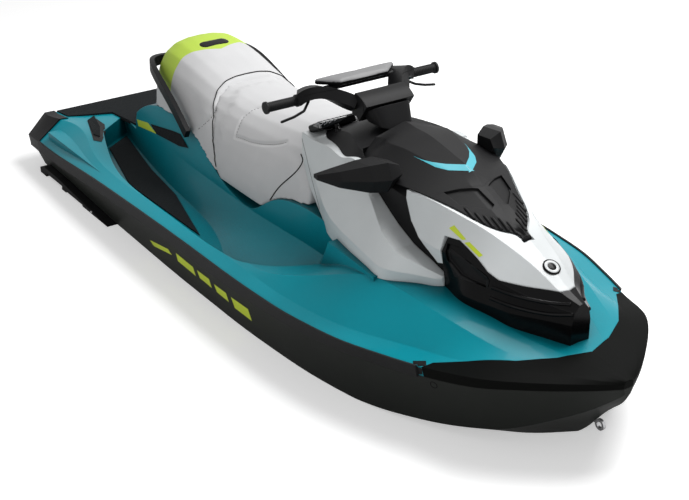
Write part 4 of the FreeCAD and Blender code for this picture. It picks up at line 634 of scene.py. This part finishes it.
def along(pixels, pitch=FINE_PITCH):
    """Pixels on a smooth curve through a few given ones."""
    ends = [tuple(2 * a - b for a, b in zip(pixels[0], pixels[1]))]
    ends += list(pixels) + [tuple(2 * a - b for a, b in zip(pixels[-1], pixels[-2]))]
    found = []
    for before, start, end, after in zip(ends, ends[1:], ends[2:], ends[3:]):
        steps = max(1, int(math.dist(start, end) / pitch))
        for step in range(steps):
            t = step / steps
            found.append(tuple(
                0.5 * (2 * s + (e - b) * t + (2 * b - 5 * s + 4 * e - a) * t * t
                       + (3 * s - b - 3 * e + a) * t ** 3)
                for b, s, e, a in zip(before, start, end, after)))
    return found + [tuple(pixels[-1])]


def both(line):
    """A line and its mirror image."""
    return [line, [Vector((p.x, -p.y, p.z)) for p in line]]


def stitches(name, tree, line):
    """Mesh of a row of short stitches along a line of places, each lying on the surface."""
    form = bmesh.new()
    travelled = 0.0
    for start, end in zip(line, line[1:]):
        run = (end - start).length
        travelled += run
        if travelled < STITCH_LENGTH + STITCH_GAP or run == 0:
            continue
        travelled = 0.0
        place, normal, _, _ = tree.find_nearest(start)
        onward = (end - start).normalized()
        turned = Matrix((onward, normal.cross(onward).normalized(), normal)).transposed()
        lying = Matrix.Translation(place) @ turned.to_4x4() @ Matrix.Diagonal(
            (STITCH_LENGTH / 2, THREAD_RADIUS, THREAD_RADIUS, 1))
        bmesh.ops.create_icosphere(form, subdivisions=1, radius=1.0, matrix=lying)
    return from_form(name, form)


cushion_trees = {}
for node, seams in SEAMS.items():
    cushion = swelled(f"{node}_cushion", node, CUSHION_CELL, CUSHION_CAP)
    lines = {key: [place for place, _ in seen_on(tree_of(node), along(pixels))]
             for key, pixels in seams.items()}
    sewn = [side for line in lines.values() for side in both(line)]
    draw_in(cushion.data, sewn, CHANNEL_HALF, CHANNEL_DEPTH)
    cushion.data.materials.append(vinyl)
    for face in cushion.data.polygons:
        face.use_smooth = True
        face.material_index = 0
    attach(cushion, "root")
    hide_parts(node)
    cushion_trees[node] = surface = tree_in(cushion.data)
    for key, line in lines.items():
        settled = [surface.find_nearest(place)[0] for place in line]
        for side, places in zip(("right", "left"), both(settled)):
            row = stitches(f"{key}_{side}", surface, places)
            place_piece(f"{node}_{key}_{side}", row, thread, "root")

# Seat badge: a plain dark pill of gloss plastic, glued on the lime rear top.
# It follows the cushion, and its rim goes down into the vinyl.
PILL_PIXEL, PILL_HALF, PILL_ROUND, PILL_THICK = (205, 46), 76 * MM, 28 * MM, 1.5 * MM
PILL_RINGS, PILL_SIDES, PILL_ABOVE = 6, 48, 0.3
STARBOARD_TO_PORT = Vector((0, 1, 0))
pill_place, pill_normal = seen_on(tree_of("seat_rear"), [PILL_PIXEL])[0]
pill_place = Vector((pill_place.x, 0, pill_place.z))
pill_up = STARBOARD_TO_PORT.cross(Vector((pill_normal.x, 0, pill_normal.z)).normalized())
pill_out = pill_up.cross(STARBOARD_TO_PORT)
pill = bmesh.new()
pill_rows = []
for ring in range(1, PILL_RINGS + 1):
    row = []
    proud = PILL_THICK if ring < PILL_RINGS else -PILL_THICK
    for number in range(PILL_SIDES):
        angle = math.tau * (number + 0.5) / PILL_SIDES
        run = math.copysign(PILL_HALF - PILL_ROUND, math.cos(angle)) + PILL_ROUND * math.cos(angle)
        outline = STARBOARD_TO_PORT * run + pill_up * PILL_ROUND * math.sin(angle)
        spot = pill_place + outline * (ring / PILL_RINGS) + pill_out * PILL_ABOVE
        found = cushion_trees["seat_rear"].ray_cast(spot, -pill_out)[0]
        row.append(pill.verts.new(found + pill_out * proud))
    pill_rows.append(row)
bridge(pill, pill_rows)
pill.faces.new(list(reversed(pill_rows[0])))
pill.normal_update()
if sum(face.normal.dot(pill_out) for face in pill.faces) < 0:
    bmesh.ops.reverse_faces(pill, faces=pill.faces)
place_piece("seat_badge", from_form("seat_badge", pill), gloss_black, "root")

# Joint between the two cushions: a black bead set in the gap, from one foot over to the
# other. It is found by rays from all round towards the middle of the gap.
SPLIT_TOP, SPLIT_FOOT = Vector((-0.6955, 0, 0.6904)), Vector((-0.4206, 0, 0.3035))
SPLIT_SHARE = 0.4
BEAD_RADIUS, BEAD_APART, BEAD_SUNK = 2.0 * MM, 10 * MM, 0.3
BEAD_FROM, BEAD_SWEEP, BEAD_STEPS = -28, 236, 100
LINE_SIDES, FINE_SIDES = 8, 6
ASKEW = Vector((0.3, 0.2, 1))


def tube(name, line, radius, sides=LINE_SIDES):
    """Mesh of a round line through places, none of which may run along ASKEW."""
    form = bmesh.new()
    rows = []
    for index, place in enumerate(line):
        run = (line[min(index + 1, len(line) - 1)] - line[max(index - 1, 0)]).normalized()
        side = run.cross(ASKEW).normalized()
        up = side.cross(run)
        rows.append([form.verts.new(place + (side * math.cos(math.tau * i / sides)
                                             + up * math.sin(math.tau * i / sides)) * radius)
                     for i in range(sides)])
    return from_rings(name, form, rows)


split_up = (SPLIT_TOP - SPLIT_FOOT).normalized()
split_middle = SPLIT_FOOT.lerp(SPLIT_TOP, SPLIT_SHARE)
bead_line = []
for number in range(BEAD_STEPS + 1):
    angle = math.radians(BEAD_FROM + BEAD_SWEEP * number / BEAD_STEPS)
    outward = STARBOARD_TO_PORT * math.cos(angle) + split_up * math.sin(angle)
    hits = [tree.ray_cast(split_middle + outward + Vector((apart, 0, 0)), -outward)[3]
            for tree in cushion_trees.values() for apart in (-BEAD_APART, BEAD_APART)]
    depths = [depth for depth in hits if depth is not None]
    if depths:
        bead_line.append(split_middle + outward * (1 - min(depths) - BEAD_RADIUS * BEAD_SUNK))
place_piece("seat_gap_bead", tube("seat_gap_bead", bead_line, BEAD_RADIUS), dark, "root")

# Painted shadow down each side of the front cushion: a black round line laid on the cushion
# where its gap to the side panel falls in shade, as the cover turns under the panels.
SEAT_GAP_SHADOW = ((301, 154), (302.6, 161.4), (295.8, 171.9), (279.4, 186.9), (270, 200))
SEAT_GAP_SHADOW_RADIUS = 2.6 * MM


def drawn_line(name, line, radius, material, body, sides=LINE_SIDES):
    """Round line on the starboard side and its twin to port."""
    piece = place_piece(f"{name}_right", tube(name, line, radius, sides), material, body)
    other_side(piece, f"{name}_left", body)


# Painted shade: this dark line stands in for the shadow in the gap between the cushion and the side
# panel.
gap_shadow_line = [place for place, _ in seen_on(cushion_trees["seat_front"], along(SEAT_GAP_SHADOW))]
drawn_line("seat_gap_shade", gap_shadow_line, SEAT_GAP_SHADOW_RADIUS, dark, "root")

# Lid: a teal chevron of cut film on the panel's fall, and a row of moulded ribs that run
# out to the insert's lip on each side.
CHEVRON = ((412.7, 155.8), (421.6, 159.6), (431.8, 162.1), (445.8, 164), (466, 164.6),
           (474.4, 171), (448.4, 170.4), (435.6, 167.2), (426.7, 162.8))
teal_film = moulded_finish("teal film", (60, 172, 188), (90, 180, 190), grain_scale=400,
                           grain_mm=0.02, rough=0.35)
film("lid_chevron", "lid_panel", CHEVRON, teal_film, "front_lid", pitch=FINE_PITCH)
RIB_COUNT, RIB_PITCH, RIB_FIRST, RIB_STARTS = 7, 17 * MM, 1.2, 0.45
RIB_RUN, RIB_STEPS, RIB_RADIUS = 58 * MM, 12, 5.5 * MM
RIB_SUNK, RIB_END_SUNK = 0.1, 0.8
LIP_STEP = 2 * MM
HIGH_ABOVE = 2.0


def on_top(host, x, y):
    """Place on a solid straight below a point high above it."""
    return tree_of(host).ray_cast(Vector((x, y, HIGH_ABOVE)), Vector((0, 0, -1)))[0]


def edge_ahead(host, y, start):
    """Foremost place of a solid's top on a fore-and-aft line."""
    x = start
    while on_top(host, x, y) is not None:
        x += LIP_STEP
    return x - LIP_STEP


insert_low, insert_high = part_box("lid_insert")
ribs_from = insert_low[0] + (insert_high[0] - insert_low[0]) * RIB_STARTS
ribs = bmesh.new()
for side in (-1, 1):
    for number in range(RIB_COUNT):
        y = side * (number + RIB_FIRST) * RIB_PITCH
        if on_top("lid_insert", ribs_from, y) is None:
            continue
        end = edge_ahead("lid_insert", y, ribs_from) - RIB_RADIUS
        line = []
        for step in range(RIB_STEPS + 1):
            place = on_top("lid_insert", end - RIB_RUN * (1 - step / RIB_STEPS), y)
            sunk = RIB_RADIUS * (RIB_SUNK if step > 1 else RIB_END_SUNK)
            if place is not None:
                line.append(place - Vector((0, 0, sunk)))
        if len(line) > 3:
            rib_mesh = tube("rib", line, RIB_RADIUS)
            ribs.from_mesh(rib_mesh)
            bpy.data.meshes.remove(rib_mesh)
place_piece("insert_ribs", from_form("insert_ribs", ribs), trim, "front_lid")

# Hood: two lime dashes of film above each vent, and a plain round badge near the tip, a
# turned disc of gloss plastic with a pale ring. The profiles are in shares of the badge's
# radius and thickness.
HOOD_DASHES = (((449, 228), (454.2, 225.2), (466.3, 239.5), (462.1, 240)),
               ((464.4, 242.7), (469.5, 242), (482.9, 255.4), (479.1, 257.3)))
BADGE_PIXEL, BADGE_RADIUS, BADGE_THICK, BADGE_SIDES = (551.7, 267), 31 * MM, 3 * MM, 48
BADGE_PROFILE = ((1.0, -1.0), (1.0, 0.6), (0.96, 1.0))
RING_PROFILE = ((0.84, 0.9), (0.82, 1.2), (0.50, 1.2), (0.48, 0.9))


def scaled(profile, radius, height):
    """Rings to turn from a profile of shares."""
    return [(radius * out, height * up) for out, up in profile]


for index, outline in enumerate(HOOD_DASHES):
    film(f"hood_dash_{index}", "nose_hood", outline, lime_film,
         pitch=FINE_PITCH)
badge_place, badge_normal = seen_on(tree_of("nose_hood"), [BADGE_PIXEL])[0]
badge_place = Vector((badge_place.x, 0, badge_place.z))
badge_normal = Vector((badge_normal.x, 0, badge_normal.z)).normalized()
badge = turned_mesh("badge", scaled(BADGE_PROFILE, BADGE_RADIUS, BADGE_THICK), BADGE_SIDES)
place_piece("hood_badge", stand_on(badge, badge_place, badge_normal), gloss_black, "root")
ring_mesh = turned_mesh("ring", scaled(RING_PROFILE, BADGE_RADIUS, BADGE_THICK), BADGE_SIDES,
                        closed=False)
place_piece("hood_badge_ring", stand_on(ring_mesh, badge_place, badge_normal), white_paint, "root")

# Grille: two proud strakes run round its chin, below the hood's edge, moulded with it in
# gloss black. A grained panel fills the vent on each side.
STRAKES = (((492, 287.5), (510, 294), (530, 299.5), (551, 303), (571, 304.5)),
           ((490, 298), (508, 305), (530, 311), (552, 314.5), (573, 315)))
STRAKE_RADIUS, STRAKE_SUNK = 7 * MM, 1 * MM
VENT_PANEL = ((446.6, 250), (451, 248), (486.7, 276), (489.5, 281), (488, 287.5), (455, 276.5),
              (449, 262))
VENT_THICK = 2 * MM
for index, pixels in enumerate(STRAKES):
    strake = [place - normal * STRAKE_SUNK
              for place, normal in seen_on(tree_of("nose_grille"), along(pixels))]
    drawn_line(f"chin_strake_{index}", strake, STRAKE_RADIUS, gloss_black, "root")
film("vent_panel", "nose_grille", VENT_PANEL, trim, thick=VENT_THICK,
     pitch=FINE_PITCH)

# Gauge: a dark glass set in its pod, with five plain bars for the readings, and the key
# post on the console beside it, a turned knob of gloss plastic.
GAUGE_GLASS = ((313, 126), (318, 120), (341, 112.5), (347, 116.5), (340, 121.5), (322, 129))
GAUGE_BARS = (((317, 124.5), (325, 118.5)), ((320, 125.5), (329, 118.6)),
              ((324, 124.8), (333, 117.6)), ((329, 123), (337, 116.6)), ((334, 121), (341, 115.6)))
GLASS_THICK, BAR_PROUD, BAR_RADIUS = 0.8 * MM, 1.6 * MM, 1.1 * MM
KEY_PIXEL, KEY_RADIUS, KEY_HEIGHT, KEY_SUNK = (338, 130), 13 * MM, 22 * MM, 13 * MM
KEY_PROFILE = ((1.0, -KEY_SUNK / KEY_HEIGHT), (1.0, 0.2), (0.7, 0.3), (0.7, 0.8), (0.6, 1.0))
KEY_LEAN = Vector((-0.5, 0, 1))
screen = moulded_finish("display glass", (24, 26, 28), (30, 30, 30), rough=0.05, coat=1.0)
mark = moulded_finish("display marks", (190, 194, 198), (200, 200, 200), rough=0.4)
glass = patch("glass", "gauge", GAUGE_GLASS, GLASS_THICK, FINE_PITCH)
place_piece("gauge_glass", glass, screen, "root")
for index, pixels in enumerate(GAUGE_BARS):
    bar_line = [place + normal * BAR_PROUD
                for place, normal in seen_on(tree_of("gauge"), along(pixels))]
    place_piece(f"gauge_bar_{index}", tube("bar", bar_line, BAR_RADIUS, FINE_SIDES), mark, "root")
key_place = seen_on(tree_of("console_body"), [KEY_PIXEL])[0][0]
key_post = turned_mesh("key_post", scaled(KEY_PROFILE, KEY_RADIUS, KEY_HEIGHT))
place_piece("key_post", stand_on(key_post, key_place, KEY_LEAN.normalized()), gloss_black, "root")

# Grips: ribs moulded round the rubber, evenly spaced from the inner end to the outer.
# They lie round the bar's line, which runs straight across the craft.
GRIP_AXIS = Vector((0.144, 0, 0.806))
GRIP_RADIUS, GRIP_IN, GRIP_OUT = 17 * MM, 262 * MM, 374 * MM
GRIP_RIBS, GRIP_RIB_RADIUS, GRIP_SIDES = 16, 1.6 * MM, 24
rings = bmesh.new()
for side in (-1, 1):
    for number in range(GRIP_RIBS):
        y = side * (GRIP_IN + (GRIP_OUT - GRIP_IN) * number / (GRIP_RIBS - 1))
        circle = [GRIP_AXIS + Vector((GRIP_RADIUS * math.cos(math.tau * i / GRIP_SIDES), y,
                                      GRIP_RADIUS * math.sin(math.tau * i / GRIP_SIDES)))
                  for i in range(GRIP_SIDES + 1)]
        one = tube("one", circle, GRIP_RIB_RADIUS, FINE_SIDES)
        rings.from_mesh(one)
        bpy.data.meshes.remove(one)
place_piece("grip_ribs", from_form("grip_ribs", rings), rubber, "steering")

# Bar pad and cover: foam in a grey vinyl cover with black sides, clipped on the bar, and
# the fine split lines where the halves of the clamshell cover meet.
PAD_CELL, PAD_CAP, PAD_TOP = 4 * MM, 4 * MM, 0.3
SPLIT_LINES = (((304, 96), (318, 92.5), (337, 89)), ((363, 104), (364.8, 125)),
               ((357, 121), (379, 112.4), (404, 110)))
SPLIT_RADIUS = 1.2 * MM
pad_cover = moulded_finish("pad cover", (120, 120, 121), (150, 150, 150), wear=0.1, edge_mm=6,
                           grain_scale=600, grain_mm=0.2, rough=0.5)
pad = swelled("bar_pad_cushion", "handlebar_pad", PAD_CELL, PAD_CAP)
pad.data.materials.append(pad_cover)
pad.data.materials.append(trim)
for face in pad.data.polygons:
    face.use_smooth = True
    face.material_index = 0 if face.normal.z > PAD_TOP else 1
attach(pad, "steering")
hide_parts("handlebar_pad")
for index, pixels in enumerate(SPLIT_LINES):
    split_line = [place for place, _ in seen_on(tree_of("handlebar_cover"), along(pixels))]
    drawn_line(f"cover_split_{index}", split_line, SPLIT_RADIUS, dark, "steering",
               FINE_SIDES)

# Steering neck: a black moulded shroud round the column, which widens up to the clamshell
# cover. Its lower edge follows the console, the lid and the side panels, and stays clear of
# them at every turn.
NECK_TURN, NECK_TURN_STEPS = math.radians(25), 4
NECK_CLEAR = 7 * MM
NECK_TOP, NECK_REACH = 70 * MM, 140 * MM
NECK_TOP_HALF, NECK_FOOT_HALF = (52 * MM, 88 * MM), (48 * MM, 74 * MM)
NECK_SQUARE, NECK_SIDES, NECK_ROWS = 4.0, 48, 5
NECK_HOSTS = ("console_body", "lid_panel", "side_panel_right", "side_panel_left")
steering = next(joint for joint in frame["record"]["behaviour"]["joints"]
                if joint["name"] == "steering_turn")
pivot, neck_axis = Vector(steering["pos_m"]), Vector(steering["axis"]).normalized()
neck_fore = STARBOARD_TO_PORT.cross(neck_axis)


def neck_reach(foot):
    """How far down the axis a point of the neck may go before the nearest fixed piece."""
    least = NECK_REACH
    for step in range(-NECK_TURN_STEPS, NECK_TURN_STEPS + 1):
        turned = Matrix.Rotation(NECK_TURN * step / NECK_TURN_STEPS, 3, neck_axis) @ foot
        start = pivot + turned + neck_axis * NECK_TOP
        for host in NECK_HOSTS:
            distance = tree_of(host).ray_cast(start, -neck_axis)[3]
            if distance is not None:
                least = min(least, distance - NECK_CLEAR)
    return least


neck = bmesh.new()
neck_rows = [[] for _ in range(NECK_ROWS)]
for number in range(NECK_SIDES):
    angle = math.tau * number / NECK_SIDES
    across = [math.copysign(abs(wave) ** (2 / NECK_SQUARE), wave)
              for wave in (math.cos(angle), math.sin(angle))]
    head, foot = [neck_fore * across[0] * half[0] + STARBOARD_TO_PORT * across[1] * half[1]
                  for half in (NECK_TOP_HALF, NECK_FOOT_HALF)]
    reach = neck_reach(foot)
    for index, row in enumerate(neck_rows):
        share = index / (NECK_ROWS - 1)
        row.append(neck.verts.new(pivot + head.lerp(foot, share)
                                  + neck_axis * (NECK_TOP - reach * share)))
place_piece("steering_neck", from_rings("steering_neck", neck, neck_rows), trim, "steering",
            smooth=False)

# Mirror glasses: flat silvered panes set in the rear faces of the mirror shells, a little
# proud of them and inset from their rims.
GLASS_INSET, GLASS_PROUD = 6 * MM, 0.8 * MM
FACING_AFT = -0.75
silvered = moulded_finish("silvered glass", (200, 204, 206), (210, 210, 210), rough=0.03, metal=1.0)
for side in ("right", "left"):
    shell = bmesh.new()
    shell.from_mesh(NODES[f"mirror_{side}"].data)
    away = [face for face in shell.faces if face.normal.x > FACING_AFT]
    bmesh.ops.delete(shell, geom=away, context="FACES")
    rims = bmesh.ops.inset_region(shell, faces=shell.faces, thickness=GLASS_INSET,
                                  use_even_offset=True)["faces"]
    bmesh.ops.delete(shell, geom=rims, context="FACES")
    for vertex in shell.verts:
        vertex.co += vertex.normal * GLASS_PROUD
    place_piece(f"mirror_glass_{side}", from_form("mirror_glass", shell), silvered, "front_lid",
                smooth=False)

# Side panels: each stands for two mouldings that meet edge to edge, and the fine dark
# joint between them runs down it.
PANEL_JOINT = ((301.8, 137.4), (306, 155), (310.8, 174.9), (315.5, 193), (319.8, 209.4))
PANEL_JOINT_RADIUS = 1.0 * MM
joint_line = [place for place, _ in seen_on(tree_of("side_panel_right"), along(PANEL_JOINT))]
drawn_line("panel_joint", joint_line, PANEL_JOINT_RADIUS, dark, "root", FINE_SIDES)

# Pump and metalwork: the pump's castings, grate, ride plate and engine block are of cast
# aluminium, and the impeller, its shaft and the bow and stern eyes of stainless steel.
alloy = moulded_finish("cast alloy", (150, 151, 154), (190, 190, 190), wear=0.2, edge_mm=2,
                       grain_mm=0.2, rough=0.4, metal=1.0)
dress(alloy, "pump_housing", "steering_nozzle", "reverse_bucket", "ride_plate", "intake_grate",
      "engine_block")
stainless = moulded_finish("stainless", (190, 190, 192), (220, 220, 220), wear=0.1, grain_scale=800,
                           grain_mm=0.02, rough=0.25, metal=1.0)
dress(stainless, "impeller", "drive_shaft", "bow_eye", "stern_eyes")

# Screws: domed stainless heads along the sponsons, in two rows, where the outer face is
# flat. Each holds the sponson to the hull.
SCREW_RADIUS, SCREW_HEIGHT, SCREW_SIDES = 6 * MM, 3.5 * MM, 12
SCREW_PROFILE = ((1.0, -1.0), (1.0, 0.3), (0.8, 0.8), (0.4, 1.0))
SCREW_COUNT, SCREW_ROWS, SCREW_FLAT = 5, (0.25, 0.75), 0.8
SCREW_OUTSIDE = 1.0
screw_rings = scaled(SCREW_PROFILE, SCREW_RADIUS, SCREW_HEIGHT)
screws = bmesh.new()
sponson_low, sponson_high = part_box("sponson_right")
for side, host in ((-1, "sponson_right"), (1, "sponson_left")):
    for number in range(SCREW_COUNT):
        share = (number + 0.5) / SCREW_COUNT
        x = sponson_low[0] + (sponson_high[0] - sponson_low[0]) * share
        for height in SCREW_ROWS:
            z = sponson_low[2] + (sponson_high[2] - sponson_low[2]) * height
            place, normal, _, _ = tree_of(host).ray_cast(Vector((x, side * SCREW_OUTSIDE, z)),
                                                         Vector((0, -side, 0)))
            if place is not None and abs(normal.y) > SCREW_FLAT:
                head = stand_on(turned_mesh("screw", screw_rings, SCREW_SIDES), place, normal)
                screws.from_mesh(head)
                bpy.data.meshes.remove(head)
place_piece("sponson_screws", from_form("sponson_screws", screws), stainless, "root")
